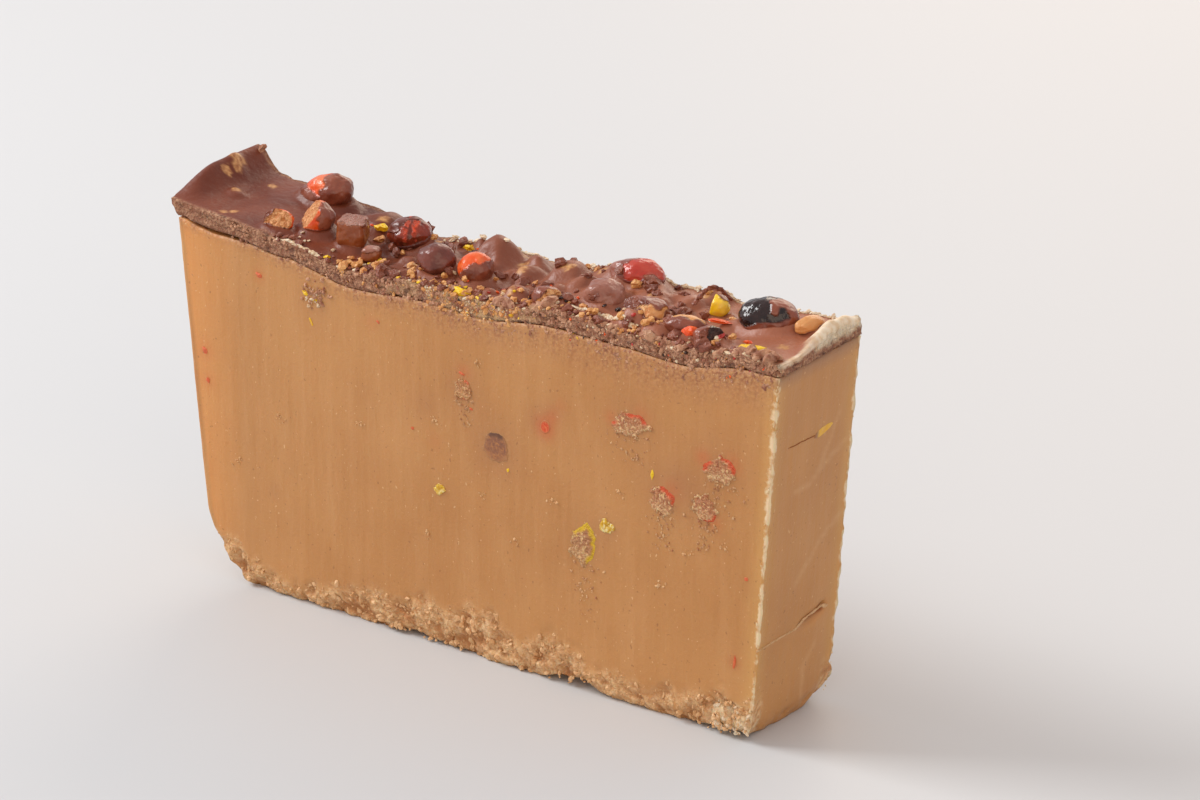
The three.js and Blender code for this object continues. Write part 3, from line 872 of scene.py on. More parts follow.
def coated_material(name, shell, cap, cap_dark, gloss=0.25, coats=MILK):
    """Shell or nut with chocolate over part of it and a rough cut face."""
    material, tree = new_material(name)
    mottle = speckle(tree, 260, 0.38, 0.62)
    coat_colour = blend_colour(tree, mottle, *coats)
    grain = speckle(tree, 1300, 0.38, 0.62)
    cap_colour = blend_colour(tree, grain, cap_dark, cap)
    shade = speckle(tree, 420, 0.35, 0.7)
    shell_colour = tint(tree, shell, shade, 0.35, cap)
    cap_mask = mask_of(tree, "cap")
    colour = blend_colour(tree, cap_mask, shell_colour, cap_colour)
    coating = mask_of(tree, "coat")
    colour = blend_colour(tree, coating, colour, coat_colour)
    bare_rough = fade(tree, cap_mask, 0, 1, gloss, 0.6)
    wet = calculate(tree, "MULTIPLY", coating, calculate(tree, "SUBTRACT", bare_rough, 0.3))
    roughness = calculate(tree, "SUBTRACT", bare_rough, wet)
    bumps = add_bump(tree, coating, 0.0003)
    bumps = add_bump(tree, grain, 0.0003, cap_mask, bumps)
    bumps = add_bump(tree, speckle(tree, 420, 0.3, 0.7), 0.0003, 0.6, bumps)
    finish_shader(tree, colour, roughness, bumps, COAT_GLOW)
    return material


ORANGE = coated_material("orange_shell", "#e44a06", "#dfa068", "#c07438")
RED = coated_material(
    "red_shell", "#b03020", "#cf6a50", "#8a2a1c", coats=("#7a3c2e", "#a06656"))
YELLOW = coated_material("yellow_shell", "#f4c408", "#f0d878", "#dca81c")
DARK = coated_material("dark_shell", "#1c100e", "#4a2a20", "#2c1712", 0.14)
NUT = coated_material("roasted_nut", "#cf8c4c", "#e4b078", "#c67c40", 0.4)
BROWN = coated_material(
    "brown_shell", "#5a2415", "#d8481a", "#a83a1c", 0.2, ("#5c2a1d", "#74392a"))
# Caramel nut: the chocolate over its top is paler and pinker than the other coats, partly chocolate
# and partly a painted highlight on the top faces
CARAMEL = coated_material(
    "caramel_nut", "#8a4420", "#a05a2c", "#7a3818", 0.28, ("#8f5846", "#a87260"))

# How square some of the forms are, where 2 is round
FORMS = {
    "nut_square": 5, "nut_small_front": 3, "nut_front_coated": 2.6, "nut_brown_lump": 2.6,
    "nut_tan_lump": 2.5, "candy_black_chunk": 3.2,
}
TILTS = {"candy_orange_patch": -20}
# Chopping planes: direction, share of the half height and roughness
CHOPPED = {
    "candy_half_orange": ((-0.5, -0.62, 0.6), 0.42, 0.2),
    "candy_small_half": ((0.3, -0.85, 0.42), 0.38, 0.2),
    "candy_yellow_half": ((-0.9, -0.3, 0.2), 0.45, 0.15),
    "candy_black_chunk": ((0.7, -0.5, 0.5), 0.5, 0.25),
    "nut_front_coated": ((0.8, -0.5, 0.2), 0.8, 0.2),
    "nut_tan_lump": ((-0.2, -0.8, 0.5), 0.75, 0.35),
    "nut_square": ((0.1, -0.1, 1), 0.72, 0.1),
}
# Material, record slot, the side that is under chocolate, how much of it, and height at the foot
LOOKS = {
    "candy_orange_patch": (ORANGE, "chocolate_coating", (0.8, 0.1, 0.1), 0.25, 1.6),
    "candy_half_orange": (ORANGE, "shell_orange", (0.9, 0.3, 0.1), 0.45, 0.2),
    "candy_small_half": (ORANGE, "roasted_nut", (-0.9, 0.1, 0.1), 0.55, 0.1),
    "nut_square": (CARAMEL, "chocolate_coating", (0, 0.1, 1), 0.55, 0.0),
    "candy_streaked": (BROWN, "chocolate_coating", (-0.6, 0.2, 0.8), 0.35, 0.8),
    "nut_small_front": (CARAMEL, "chocolate_coating", (0, 0, 1), 0.3, 0.3),
    "candy_brown_ball": (BROWN, "chocolate_coating", (-0.3, 0.6, 0.7), -2.0, 0.6),
    "candy_orange_ball": (ORANGE, "shell_orange", (0.62, -0.25, -0.6), 0.1, 0.5),
    "nut_front_coated": (NUT, "roasted_nut", (-0.7, 0.2, 0.6), -0.05, 0.3),
    "candy_red_back": (RED, "shell_red", (-1, 0.1, 0.1), 0.25, 1.0),
    "nut_brown_lump": (CARAMEL, "chocolate_coating", (0, 0, 1), -0.1, 1.2),
    "nut_tan_lump": (NUT, "roasted_nut", (-0.3, 0.5, 0.8), 0.0, 0.7),
    "nut_long": (NUT, "roasted_nut", (0, -0.7, -0.6), -0.3, 1.0),
    "candy_yellow_half": (YELLOW, "shell_yellow", (0.2, 0.4, 0.9), 0.7, 0.2),
    "candy_black_chunk": (DARK, "shell_dark", (-0.9, -0.1, 0.1), 0.2, 0.3),
    "candy_dark_large": (DARK, "shell_dark", (0.75, 0.25, 0.6), 0.8, 0.9),
    "peanut_right": (NUT, "roasted_nut", (0, 0, -1), 0.6, 0.2),
}
SMALL = 6.0
SEED_STEP = 3.7
for number, (name, (at, size, turn)) in enumerate(TOPPINGS.items()):
    topping = lump_piece(
        name + "_look", at, size, turn, TILTS.get(name, 0), FORMS.get(name, 2.0),
        5 if max(size) > SMALL else 4, number * SEED_STEP, CHOPPED.get(name))
    material, slot, towards, share, foot = LOOKS[name]
    add_mask(topping, "coat", coat_mask(at, towards, share, foot))
    finish_piece(topping, material, name, slot)

# Streaks: two ragged bands across the streaked candy where the chocolate leaves its shell bare
STREAKED_AT = Vector(TOPPINGS["candy_streaked"][0])
STREAKS_ALONG = Vector((0.8, 0.3, 0.1)).normalized()
STREAK_PLACES = (0.6, 2.2)
STREAK_WIDTH = 0.55
streaked = bpy.data.objects["candy_streaked_look"].data
caps = streaked.attributes["cap"].data
coats = streaked.attributes["coat"].data
for vertex, cap, coat in zip(streaked.vertices, caps, coats):
    point = vertex.co / MM
    if point.z > STREAKED_AT.z - 0.5:
        along = (point - STREAKED_AT).dot(STREAKS_ALONG) + 0.5 * noise.noise(point / 1.5)
        bare = max(bell(along - streak, STREAK_WIDTH) for streak in STREAK_PLACES)
        bare *= smooth(0.8 + 2 * noise.noise(point / 2.2), 0.4, 0.8)
        cap.value = smooth(bare, 0.3, 0.7)
        coat.value *= 1 - smooth(bare, 0.3, 0.6)

# Cut candies
# Candies that the knife went through, in the sliced faces: a crumbly filling with a thin line of
# bright shell round part of it, and crumbs of it dragged down the face below.
FRONT_CUTS = {
    "cut_brown_deep": (9.6, 46.7, 8.8, 8.4, 0, "brown"),
    "cut_orange_spot": (22.0, 53.8, 3.0, 3.6, 10, "orange"),
    "cut_orange_arc": (42.8, 58.9, 11.6, 6.2, -12, "filling"),
    "cut_orange_rim": (50.5, 45.0, 7.2, 8.2, 16, "filling"),
    "cut_red_arcs": (64.0, 54.4, 10.4, 7.0, -8, "filling"),
    "cut_orange_low": (60.4, 45.8, 7.6, 7.2, 24, "filling"),
    "cut_yellow_long": (31.4, 31.4, 7.4, 12.2, 14, "yellow"),
    "cut_yellow_round": (37.0, 36.6, 4.2, 3.8, 0, "bright_yellow"),
    "cut_yellow_small": (-4.9, 34.6, 3.6, 2.8, -20, "bright_yellow"),
    "cut_pink_crumbs": (1.5, 57.2, 5.6, 6.2, 20, "faint"),
}
BACK_CUTS = {
    "back_cut_orange": (-42, 52, 9.4, 6.6, 18, "filling"),
    "back_cut_yellow": (-20, 30, 7.0, 9.6, -24, "yellow"),
    "back_cut_brown": (8, 58, 8.6, 7.4, 8, "brown"),
    "back_cut_red": (34, 42, 9.8, 6.4, -14, "filling"),
    "back_cut_small": (56, 60, 4.4, 4.0, 0, "orange"),
}
# Arcs of shell round the cut ones: from and to, in degrees round the outline from its right
SHELL_ARCS = {
    "cut_orange_arc": [(0, 100), (150, 175)],
    "cut_orange_rim": [(10, 125)],
    "cut_red_arcs": [(-15, 85), (120, 185)],
    "cut_orange_low": [(-80, 15)],
    "cut_yellow_long": [(-55, 165)],
    "cut_pink_crumbs": [(60, 110), (-80, -40)],
    "cut_brown_deep": [(50, 130)],
    "back_cut_orange": [(20, 110)],
    "back_cut_yellow": [(-60, 150)],
    "back_cut_red": [(60, 190)],
}


def cut_material(name, filling, filling_dark, filling_pale, shell, gloss=0.6, grit=0.8):
    """A cut candy: crumbs of filling, paler below, an arc of bright shell, fudge round it."""
    material, tree = new_material(name)
    grain = speckle(tree, 1900, 0.38, 0.62, 2.0)
    low = mask_of(tree, "low")
    dark = tint(tree, filling_dark, low, 0.75, filling)
    light = tint(tree, filling, low, 0.8, filling_pale)
    colour = blend_colour(tree, grain, dark, light)
    pale = speckle(tree, 1500, 0.56, 0.62, 2.0, stretch=(1.2, 1, 0.9))
    colour = blend_colour(tree, pale, colour, filling_pale)
    colour = blend_colour(tree, mask_of(tree, "shell"), colour, shell)
    colour = blend_colour(tree, mask_of(tree, "outline"), colour, "#b37d4a")
    finish_shader(tree, colour, gloss, add_bump(tree, grain, 0.0003, grit), FUDGE_GLOW)
    return material


CUT_COLOURS = {
    "brown": ("candy_filling", "#925f3e", "#805036", "#a86e3e", "#5f3b28", 0.5, 0.15),
    "orange": ("shell_orange", "#d04a1a", "#c84416", "#d46a34", "#d04818", 0.45, 0.15),
    "filling": ("candy_filling", "#bc8052", "#a96a44", "#dab280", "#d05020"),
    "faint": ("candy_filling", "#bc8250", "#b07446", "#cf9f6c", "#c86234"),
    "yellow": ("shell_yellow", "#b67e50", "#a87048", "#d2a874", "#d8ae1c"),
    "bright_yellow": ("shell_yellow", "#d4aa20", "#c08e18", "#e4cf90", "#dab614", 0.4, 0.15),
}
CUT_LOOKS = {
    kind: (cut_material("cut_" + kind, *colours), slot)
    for kind, (slot, *colours) in CUT_COLOURS.items()
}
EVEN_KINDS = ("brown", "orange")
CUT_DEPTH = 10
CUT_PROUD = 0.06
GRIT_HEIGHT = 0.24
RAGGED_SINK = 0.7
EDGE_SINK = 0.5


def shell_arc(name, angle):
    """1 at the angles where an arc of shell goes round a cut candy, and 0 elsewhere."""
    arc = 0.0
    for low, high in SHELL_ARCS.get(name, []):
        middle = (low + high) / 2
        away = abs((angle - middle + 180) % 360 - 180)
        arc = max(arc, 1 - smooth(away, (high - low) / 2 - 12, (high - low) / 2 + 4))
    return arc


def cut_piece(name, cut, side, number):
    """One cut candy: a lump whose outer side is flattened to the face, a little proud of it."""
    x, z, width, rise, turn, kind = cut
    piece = lump_piece(
        name + "_look", (0, 0, 0), (width, CUT_DEPTH, rise), 0, turn, 2.3, 5,
        number * SEED_STEP)
    masks = {"shell": [], "outline": [], "low": []}
    turned = Matrix.Rotation(math.radians(turn), 3, "Y").inverted()
    for vertex in piece.data.vertices:
        point = vertex.co / MM
        local = turned @ point
        radius = math.hypot(local.x / (width / 2), local.z / (rise / 2))
        angle = math.degrees(math.atan2(local.z / rise, local.x / width))
        ragged = 0.2 * noise.fractal(Vector((point.x + x, number, point.z + z)) / 1.5, 0.7, 2.1, 4)
        ragged *= 0.4 if kind in EVEN_KINDS else 1.0
        shell = shell_arc(name, angle) * smooth(radius + 0.8 * ragged, 0.48, 0.66)
        soft = 0.35 if kind in EVEN_KINDS else 0.0
        faded = 0.15 * smooth(-local.z / rise, 0.1, 0.5)
        outline = smooth(radius + (1.6 - 3 * soft) * ragged + faded, 0.8 - soft, 0.95)
        outline *= 1 - 0.9 * shell * smooth(1.02 - radius, 0, 0.06)
        masks["shell"].append(shell)
        masks["outline"].append(outline)
        masks["low"].append(smooth(-local.z / rise, -0.1, 0.2))
        face_x, face_z = point.x + x, point.z + z
        face = HALF_THICKNESS - face_relief(face_x, face_z, side)
        rough_share = (1 - shell) * (0.05 if soft else 1.0)
        proud = CUT_PROUD + GRIT_HEIGHT * grains(face_x, 3, face_z, 0.9) * rough_share
        worn = smooth(radius + 1.7 * ragged * (1 - 0.7 * shell) + faded, 0.72, 1.0)
        proud -= RAGGED_SINK * worn
        proud -= EDGE_SINK * smooth(radius, 0.92, 1.0)
        outside = point.y * side
        vertex.co = Vector((face_x, side * (face + min(proud, outside)), face_z)) * MM
    for mask, values in masks.items():
        write_mask(piece, mask, values)
    material, slot = CUT_LOOKS[kind]
    finish_piece(piece, material, name, slot)


for number, (name, cut) in enumerate(FRONT_CUTS.items()):
    cut_piece(name, cut, -1, number)
for number, (name, cut) in enumerate(BACK_CUTS.items()):
    cut_piece(name, cut, 1, number + len(FRONT_CUTS))

# Shard of yellow shell that lies flat in the right end, tilted a little
SHARD_SHELL = coated_material(
    "shard_shell", "#e0a41e", "#ecd070", "#b8781c", 0.4, ("#8f561f", "#a8692a"))
SHARD_AT = (block_right(60.0), 3.2, 60.4)
SHARD_SLOPE = 0.17
SHARD_PROUD = 0.06
shard = lump_piece("end_yellow_shard_look", SHARD_AT, (6.4, 6.2, 1.5), 0, 0, 2.0, 4, 0.0)
for vertex in shard.data.vertices:
    point = vertex.co / MM
    point.z += SHARD_SLOPE * (point.y - SHARD_AT[1])
    point.x = min(point.x, right_end(point.y, point.z) + SHARD_PROUD)
    vertex.co = point * MM
add_mask(shard, "coat", lambda x, y, z: 1 - smooth(y, 0.9, 1.9))
finish_piece(shard, SHARD_SHELL, "end_yellow_shard", "shell_yellow")

# Chips, flakes and crumbs
# Small bits of nut, shell, cream and chocolate that lie on the chocolate, stick to its broken
# edges and to the corner, and crumble from the foot. Each kind is one mesh of many uneven grains.
deselect()
bpy.ops.mesh.primitive_ico_sphere_add(subdivisions=2, radius=1, location=(0, 0, 0))
grain_form = bpy.context.object
GRAIN_POINTS = [vertex.co.copy() for vertex in grain_form.data.vertices]
GRAIN_FACES = [tuple(face.vertices) for face in grain_form.data.polygons]
bpy.data.objects.remove(grain_form, do_unlink=True)


SHARP_ANGLE = 24


def crumb_piece(name, material, slot, seed, *groups):
    """One mesh of grains; a group has spots of (place, (length, width, height), XYZ degrees)."""
    chance = random.Random(seed)
    points = []
    faces = []
    for place, size, turn in chain(*groups):
        turned = Euler([math.radians(angle) for angle in turn]).to_matrix()
        offset = Vector([chance.uniform(0, 50) for _ in range(3)])
        first = len(points)
        for form in GRAIN_POINTS:
            uneven = 1 + 0.7 * noise.noise(form * 1.5 + offset)
            point = Vector([part * length / 2 * uneven for part, length in zip(form, size)])
            points.append((turned @ point + Vector(place)) * MM)
        faces.extend(tuple(first + index for index in face) for face in GRAIN_FACES)
    mesh = bpy.data.meshes.new(name)
    mesh.from_pydata(points, [], faces)
    piece = bpy.data.objects.new(name, mesh)
    bpy.context.collection.objects.link(piece)
    deselect()
    bpy.context.view_layer.objects.active = piece
    piece.select_set(True)
    bpy.ops.object.shade_smooth_by_angle(angle=math.radians(SHARP_ANGLE))
    finish_piece(piece, material, None, slot)


CRUMB_GLOW = (0.1, (1.0, 0.5, 0.3), 0.001)


def plain_material(name, colour, shade, gloss=0.6):
    """One stuff in two shades, with a fine rough surface."""
    material, tree = new_material(name)
    mottle = speckle(tree, 500, 0.35, 0.65)
    bumps = add_bump(tree, speckle(tree, 1800, 0.3, 0.7), 0.0002, 0.7)
    stuff = blend_colour(tree, mottle, shade, colour)
    finish_shader(tree, stuff, gloss, bumps, CRUMB_GLOW)
    return material


NUT_CRUMB = plain_material("nut_crumb", "#e2aa68", "#c68246", 0.5)
CREAM_FLAKE = plain_material("cream_flake", "#ead8bc", "#cfae88", 0.65)
MILK_CRUMB = plain_material("chocolate_crumb", "#8f5038", "#743b28", 0.42)
DRY_CRUMB = plain_material("dry_chocolate_crumb", "#c89a7a", "#925d45", 0.85)
YELLOW_BIT = plain_material("yellow_bit", "#f6cc0a", "#e8b406", 0.35)
ORANGE_BIT = plain_material("orange_bit", "#ee6010", "#e2480a", 0.35)
RED_BIT = plain_material("red_bit", "#b82a1c", "#8f2218", 0.4)
DARK_BIT = plain_material("dark_bit", "#241412", "#38201a", 0.3)
SHADE_LINE = plain_material("fudge_crack_shade", "#a06234", "#8a5026", 0.8)
PALE_LINE = plain_material("fudge_burr", "#d3ac80", "#c49664", 0.7)
FILLING_CRUMB = plain_material("filling_crumb", "#d3aa7c", "#a8714c", 0.8)
BLED_SHELL = plain_material("bled_shell", "#d8683a", "#cb5a2a", 0.5)
FOOT_CRUMB = plain_material("foot_crumb", "#dfb586", "#c4925e", 0.7)
CORNER_FLAKE = plain_material("corner_flake", "#e0c8a0", "#cda97a", 0.65)


def any_turn(chance):
    return [chance.uniform(0, 360) for _ in range(3)]


def leaning_turn(chance, lean):
    """A turn all the way round Z, with a slight lean."""
    return chance.uniform(-lean, lean), chance.uniform(-lean, lean), chance.uniform(0, 360)


def face_grain(chance, x, z, length, width=0.8):
    """A grain in the front face."""
    return (x, front_face(x, z), z), (length, length * width, length * 0.6), any_turn(chance)


def face_bit(x, z, width, rise, turn=0, out=0.02):
    """A flat bit in the front face."""
    return (x, front_face(x, z) - out, z), (width, 0.35, rise), (0, turn, 0)


def top_spots(count, seed, x_range, y_range, sizes, flatness, sink=0.15, front_bias=1.0):
    """Random spots on the chocolate's top."""
    chance = random.Random(seed)
    for _ in range(count):
        x = chance.uniform(*x_range)
        y = mix(*y_range, chance.random() ** front_bias)
        length = mix(*sizes, chance.random() ** 2)
        size = (length, length * chance.uniform(0.5, 0.9), length * flatness)
        z = chocolate_top(x, y) + size[2] * (0.5 - sink)
        yield (x, y, z), size, leaning_turn(chance, 25)


def face_spots(count, seed, x_range, depth, sizes):
    """Random spots in the front face, from the chocolate's edge down to depth below it."""
    chance = random.Random(seed)
    for _ in range(count):
        x = chance.uniform(*x_range)
        down = depth * chance.random() ** 1.6
        z = chocolate_top(x, -HALF_THICKNESS) - 0.1 - down
        length = mix(*sizes, chance.random() ** 2)
        y = -HALF_THICKNESS + length * 0.2 + 0.2
        yield (x, y, z), (length, length * 0.8, length * 0.7), any_turn(chance)


def cluster_spots(count, seed, x, z, reach, sizes):
    """Random spots in the front face round one place."""
    chance = random.Random(seed)
    for _ in range(count):
        at_x = chance.gauss(x, reach)
        at_z = chance.gauss(z, 0.7 * reach)
        yield face_grain(chance, at_x, at_z, mix(*sizes, chance.random() ** 2))


def line_spots(start, stop, step):
    """Places along a straight line from start to stop, about a step apart, and its slope."""
    count = int(math.dist(start, stop) / step)
    slope = math.degrees(math.atan2(stop[1] - start[1], stop[0] - start[0]))
    for number in range(count):
        share = number / count
        yield mix(start[0], stop[0], share), mix(start[1], stop[1], share), slope


# In the right end: a short line of painted shade, made of thin dark flakes, where a crack leads to the
# yellow shard, as (y, z) to (y, z), and the pale upper lip of the open crack lower down
SHORT_CRACK = ((-7.7, 60.1), (0.4, 60.2))


def short_crack(seed):
    chance = random.Random(seed)
    for y, level, slope in line_spots(*SHORT_CRACK, 0.7):
        z = level + 0.2 * rough(y, seed, 0, 2.5)
        thick = 0.2 * chance.uniform(0.5, 1.2)
        yield (right_end(y, z), y, z), (0.35, 1.5, thick), (slope, 0, 0)


def crack_lip(seed):
    chance = random.Random(seed)
    y = -HALF_THICKNESS + 0.2
    while y < 10:
        z = crack_line(y) + 0.9 * smooth(y, -1, 4) * (1 - smooth(y, 8, 10))
        yield (right_end(y, z), y, z), (0.4, 1.4, 0.4 * chance.uniform(0.6, 1.2)), (6, 0, 0)
        y += 0.6


crumb_piece("end_crack_shade_line", SHADE_LINE, "fudge", 11, short_crack(5))
crumb_piece("crack_lip", PALE_LINE, "fudge", 12, crack_lip(6))

# Crumbs of filling dragged down the face below each cut candy
DRAGGED_KINDS = ("filling", "faint", "yellow")
TRAIL_COUNT = 55


def trail_spots(seed):
    chance = random.Random(seed)
    for x, z, width, rise, _, kind in FRONT_CUTS.values():
        for _ in range(TRAIL_COUNT if kind in DRAGGED_KINDS else 0):
            down = chance.random() ** 1.5
            at_x = x + chance.gauss(0, 0.22 * width * (1.2 - 0.6 * down))
            at_z = z - 0.30 * rise - 0.95 * rise * down
            yield face_grain(chance, at_x, at_z, mix(0.25, 0.8, chance.random() ** 2), 0.7)


crumb_piece("filling_trails", FILLING_CRUMB, "candy_filling", 13, trail_spots(21))

# Cream flakes in rows on the chocolate: from, to, width and how far they stray
CREAM_LINES = [
    ((26, -9), (34, -9.4), 0.8, 0.5), ((34, -9.4), (42, -11.4), 0.9, 0.5),
    ((-46, -12.6), (-36, -12.9), 0.9, 0.2), ((-14, 12.6), (2, 12.8), 0.6, 0.2),
    ((12, 12.7), (24, 12.8), 0.5, 0.2), ((30, 12.4), (40, 12.6), 0.7, 0.3),
    ((44, 12.2), (56, 12.7), 0.7, 0.3), ((60, 12.4), (73, 12.6), 0.6, 0.3),
    ((54, 10.2), (59, 11.2), 0.7, 0.3), ((-8, 9.8), (-3, 10.8), 0.9, 0.3),
    ((62, -12.8), (70, -13.0), 0.7, 0.2),
]


def cream_line(start, stop, width, stray, seed):
    chance = random.Random(seed)
    for x, across, slope in line_spots(start, stop, 0.8):
        y = across + stray * rough(x, seed, 0, 3)
        thick = width * chance.uniform(0.5, 1.3)
        z = chocolate_top(x, y) + 0.15 * thick
        turn = (chance.uniform(-20, 20), chance.uniform(-15, 15), slope + chance.uniform(-15, 15))
        yield (x, y, z), (1.9, thick, thick * 0.8), turn


crumb_piece(
    "cream_lines", CREAM_FLAKE, "fudge", 14,
    *(cream_line(*line, seed) for seed, line in enumerate(CREAM_LINES, 1)))

# Bits on the chocolate and in its broken edge, each kind in its own colour
crumb_piece(
    "edge_chunks", DRY_CRUMB, "milk_chocolate", 15,
    top_spots(34, 22, (-4, 74), (-13.0, -11.6), (1.4, 3.6), 0.6, 0.35),
    top_spots(10, 23, (62, 75), (-13.0, -11.4), (2.0, 4.2), 0.6, 0.3),
    [((-74.8, 12.6, 87.2), (1.0, 2.6, 3.4), (10, 30, 20)),
     ((-74.0, 12.2, 88.3), (2.2, 0.7, 1.2), (0, -30, 10))])
crumb_piece(
    "chocolate_curl", MILK_CRUMB, "milk_chocolate", 16,
    [((46.0 + 0.5 * step, 3.0 + 0.9 * step, 80.0 + 2.6 * math.sin(step * 0.45)),
      (0.9, 1.8, 0.9), (35 - 11 * step, 0, -20)) for step in range(8)])
crumb_piece(
    "nut_chips", NUT_CRUMB, "roasted_nut", 1,
    top_spots(46, 1, (-34, 62), (-12.6, 11), (1.2, 3.0), 0.6, 0.25, 1.8),
    top_spots(90, 2, (-30, 50), (-13.2, -8.5), (0.7, 2.0), 0.7),
    face_spots(150, 24, (-9, 15), 4.2, (0.5, 1.7)),
    face_spots(60, 25, (-34, 70), 3.0, (0.4, 1.2)))


def patch_spots(count, seed):
    """Random spots in the pale crumbly patch at the foot of the right corner."""
    chance = random.Random(seed)
    while count:
        x = chance.uniform(60.5, 72)
        z = chance.uniform(0.8, 8.5)
        if corner_patch_mask(x, -HALF_THICKNESS, z) > 0.5 and x < block_right(z) - 0.6:
            yield face_grain(chance, x, z, mix(0.4, 1.5, chance.random() ** 2))
            count -= 1


crumb_piece(
    "cream_flakes", CREAM_FLAKE, "fudge", 2,
    top_spots(70, 3, (-50, 72), (-13.3, -8), (0.5, 1.6), 0.4),
    top_spots(60, 4, (-30, 76), (11.6, 13.2), (0.6, 1.8), 0.5),
    top_spots(20, 5, (-20, 66), (-8, 11), (0.5, 1.6), 0.35),
    face_spots(60, 26, (-8, 14), 3.6, (0.4, 1.3)),
    face_spots(40, 27, (14, 74), 3.0, (0.3, 1.0)),
    patch_spots(60, 28),
    cluster_spots(16, 31, -37.6, 67.8, 1.1, (0.4, 1.1)))
crumb_piece(
    "chocolate_crumbs", MILK_CRUMB, "milk_chocolate", 3,
    top_spots(120, 6, (-30, 60), (-12.8, 12), (1.0, 3.6), 0.7, 0.35, 1.2),
    top_spots(120, 7, (-50, 76), (-13.3, -10.5), (0.6, 2.2), 0.6))
crumb_piece(
    "dry_crumbs", DRY_CRUMB, "milk_chocolate", 4,
    face_spots(900, 8, (-20, 76), 5.5, (0.4, 1.5)),
    face_spots(260, 9, (-60, -20), 3.6, (0.4, 1.2)),
    cluster_spots(50, 32, -37.0, 69.6, 1.7, (0.4, 1.3)))
crumb_piece(
    "yellow_bits", YELLOW_BIT, "shell_yellow", 5,
    top_spots(12, 10, (-35, 25), (-13, -6), (0.8, 2.0), 0.5),
    [((-34.5, 4.6, 79.6), (2.8, 1.8, 1.6), (0, 10, 30)),
     ((-13.8, 7.5, 78.6), (2.2, 1.4, 1.2), (0, 0, 20)),
     ((0.6, -12.6, 77.2), (3.2, 1.6, 1.8), (0, 20, 10)),
     ((68.5, -10.9, 79.2), (4.6, 2.2, 1.0), (10, 0, 24))],
    face_spots(10, 11, (0, 30), 4.0, (0.6, 1.2)),
    [face_bit(-39.8, 69.2, 1.8, 0.9, 30), face_bit(-37.2, 68.2, 1.2, 0.7),
     face_bit(48.0, 50.2, 0.7, 2.0), face_bit(12.6, 42.8, 0.5, 0.8, 20),
     face_bit(-38.4, 63.4, 1.6, 0.5, 60)])
crumb_piece(
    "orange_bits", ORANGE_BIT, "shell_orange", 6,
    top_spots(14, 12, (-58, 66), (-12.5, 6), (0.7, 1.9), 0.5),
    [((55.1, -1.7, 79.3), (4.2, 1.6, 0.8), (0, 10, 40)),
     ((54.6, -10.4, 79.4), (3.0, 2.2, 2.0), (0, 0, 20)),
     ((66.3, -8.3, 79.2), (2.0, 0.8, 0.6), (0, 0, 10))],
    face_spots(14, 13, (20, 76), 6.0, (0.5, 1.1)))
crumb_piece(
    "face_specks", BLED_SHELL, "shell_orange", 30,
    [face_bit(-52.6, 70.5, 1.6, 1.0, 10, 0.0), face_bit(-68.4, 51, 1.6, 1.0, 50, 0.0),
     face_bit(-67.9, 44.5, 1.2, 1.0, 30, 0.0), face_bit(67.8, 16.2, 0.6, 3.0, 8, 0.0),
     face_bit(70.2, 34.0, 0.9, 0.8, 0, 0.0), face_bit(1.0, 60.6, 1.4, 0.6, 20),
     face_bit(3.4, 53.6, 1.2, 0.5, 10), face_bit(-20.4, 66.9, 1.0, 0.6, 40, 0.0),
     face_bit(-11.8, 46.2, 0.8, 0.6, 0, 0.0)])
crumb_piece(
    "red_bits", RED_BIT, "shell_red", 7,
    top_spots(8, 14, (0, 62), (-12.5, -4), (0.7, 1.7), 0.5),
    face_spots(10, 15, (30, 76), 5.0, (0.5, 1.1)))
crumb_piece(
    "dark_bits", DARK_BIT, "shell_dark", 8,
    top_spots(10, 16, (0, 66), (-12.8, -5), (0.7, 1.6), 0.6),
    face_spots(26, 17, (0, 60), 5.0, (0.4, 1.0)))

# Crumbs of fudge at the foot and in a few places in the front face, where the knife scuffed it
SCUFFS = [
    (-6.2, 49.5), (4.6, 63.6), (-26.0, 44.0), (-48.0, 40.0), (14.0, 28.0), (30.0, 22.0),
    (50.0, 28.0), (56.6, 36.0), (64.6, 39.2), (-8.0, 24.0), (40.0, 44.5), (-60.0, 28.0),
    (24.0, 39.0), (6.0, 36.0),
]


def scuff_spots(seed):
    chance = random.Random(seed)
    for x, z in SCUFFS:
        yield from cluster_spots(7, chance.random(), x, z, 0.7, (0.3, 0.9))


def foot_spots(count, seed):
    chance = random.Random(seed)
    while count:
        x = chance.uniform(-HALF_LENGTH, HALF_LENGTH)
        z = chance.uniform(0.3, 14)
        if z < foot_height(x) and block_left(z) + 0.5 < x < block_right(z) - 0.5:
            length = mix(0.5, 1.9, chance.random() ** 2.5)
            place = (x, front_face(x, z) + length * 0.15, max(z, length * 0.4))
            yield place, (length, length * 0.8, length * 0.6), any_turn(chance)
            count -= 1


crumb_piece(
    "foot_crumbs", FOOT_CRUMB, "fudge", 9, foot_spots(520, 18), patch_spots(70, 29),
    scuff_spots(33))


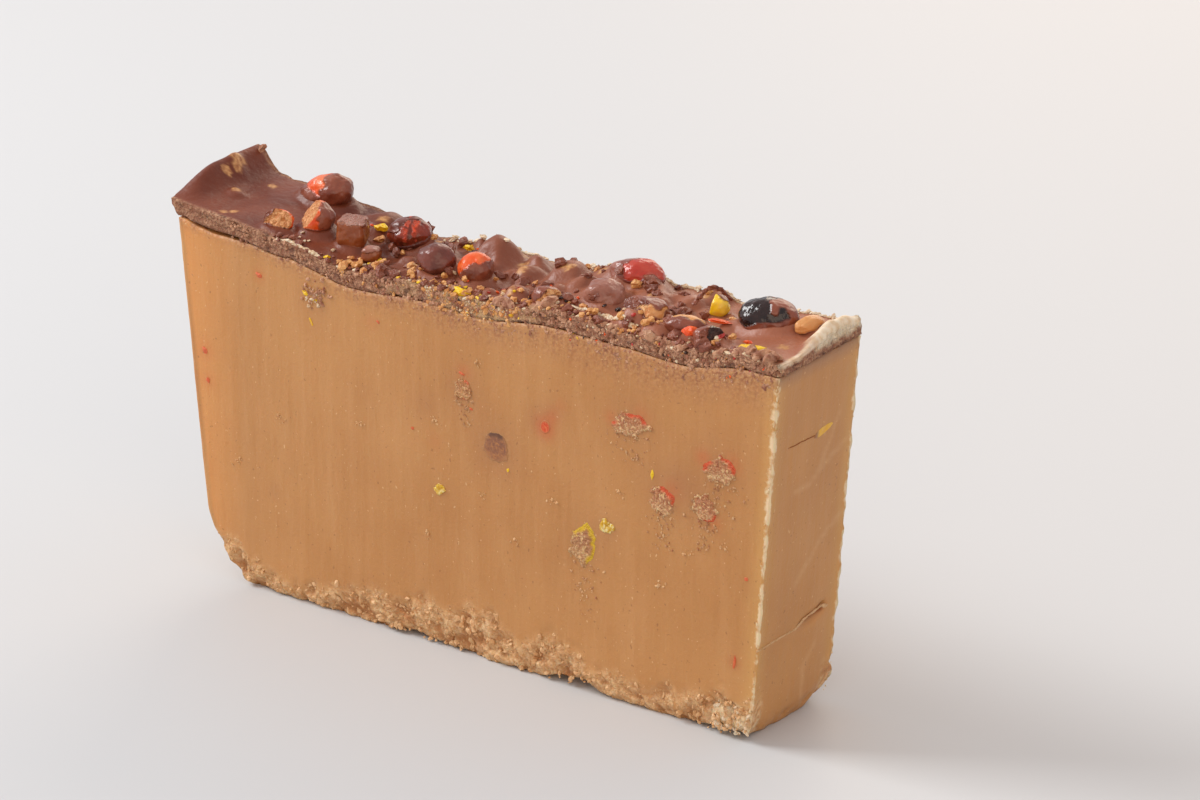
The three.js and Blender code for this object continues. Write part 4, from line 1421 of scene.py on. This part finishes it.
def corner_spots(count, seed, side):
    """Random flakes down an upright edge of the right end; side is -1 for the front edge."""
    chance = random.Random(seed)
    for _ in range(count):
        z = chance.uniform(1.5, 78)
        length = mix(0.3, 1.0, chance.random() ** 2.5)
        x = block_right(z) - chance.uniform(-0.1, 0.6)
        y = side * (HALF_THICKNESS - chance.uniform(-0.1, 0.6))
        yield (x, y, z), (length * 0.5, length * 0.5, length), leaning_turn(chance, 20)


crumb_piece(
    "corner_flakes", CORNER_FLAKE, "fudge", 10, corner_spots(80, 19, -1),
    corner_spots(60, 20, 1))

# Floor and backdrop
# A plain pale floor that reaches back to a pale backdrop, under a large soft light from the left
# and two weaker warm ones from behind and from the right.
deselect()
bpy.ops.mesh.primitive_plane_add(size=6, location=(0, 0, 0))
floor = bpy.context.object
floor.name = "floor"
pale, tree = new_material("pale_floor")
set_inputs(tree, tree.nodes["Principled BSDF"], {
    "Base Color": linear("#c9cbcc"), "Roughness": 0.6})
floor.data.materials.append(pale)


def point_at(thing, place, towards):
    """Sets a light or camera at a place and points it towards another one."""
    thing.location = place
    thing.rotation_euler = (Vector(towards) - Vector(place)).to_track_quat("-Z", "Y").to_euler()


def add_light(name, place, towards, width, power, colour="#ffffff"):
    data = bpy.data.lights.new(name, "AREA")
    data.color = linear(colour)[:3]
    data.size = width
    data.energy = power
    light = bpy.data.objects.new(name, data)
    point_at(light, place, towards)
    bpy.context.collection.objects.link(light)


add_light("key", (-1.1, -0.4, 0.95), (0, 0, 0.04), 0.65, 17.5)
add_light("back", (-0.3, 1.2, 0.62), (0, 0, 0.06), 0.9, 6, "#ffe6cc")
add_light("fill", (0.9, -0.9, 0.6), (0, 0, 0.04), 1.2, 6, "#ffe2c4")
world = bpy.data.worlds.new("studio")
bpy.context.scene.world = world
world.use_nodes = True
background = world.node_tree.nodes["Background"]
background.inputs["Color"].default_value = linear("#e9e8ed")
background.inputs["Strength"].default_value = 0.75

# Camera
# It stands where the photograph was taken from, about 0.7 m away.
camera_data = bpy.data.cameras.new("camera")
camera = bpy.data.objects.new("camera", camera_data)
bpy.context.collection.objects.link(camera)
CAMERA_PLACE = (0.43406, -0.53634, 0.29837)
CAMERA_AIM = (0.03463, -0.01235, 0.06197)
point_at(camera, CAMERA_PLACE, CAMERA_AIM)
camera_data.lens = 109.2
camera_data.sensor_width = 36
bpy.context.scene.camera = camera
bpy.context.scene.view_settings.view_transform = "Standard"
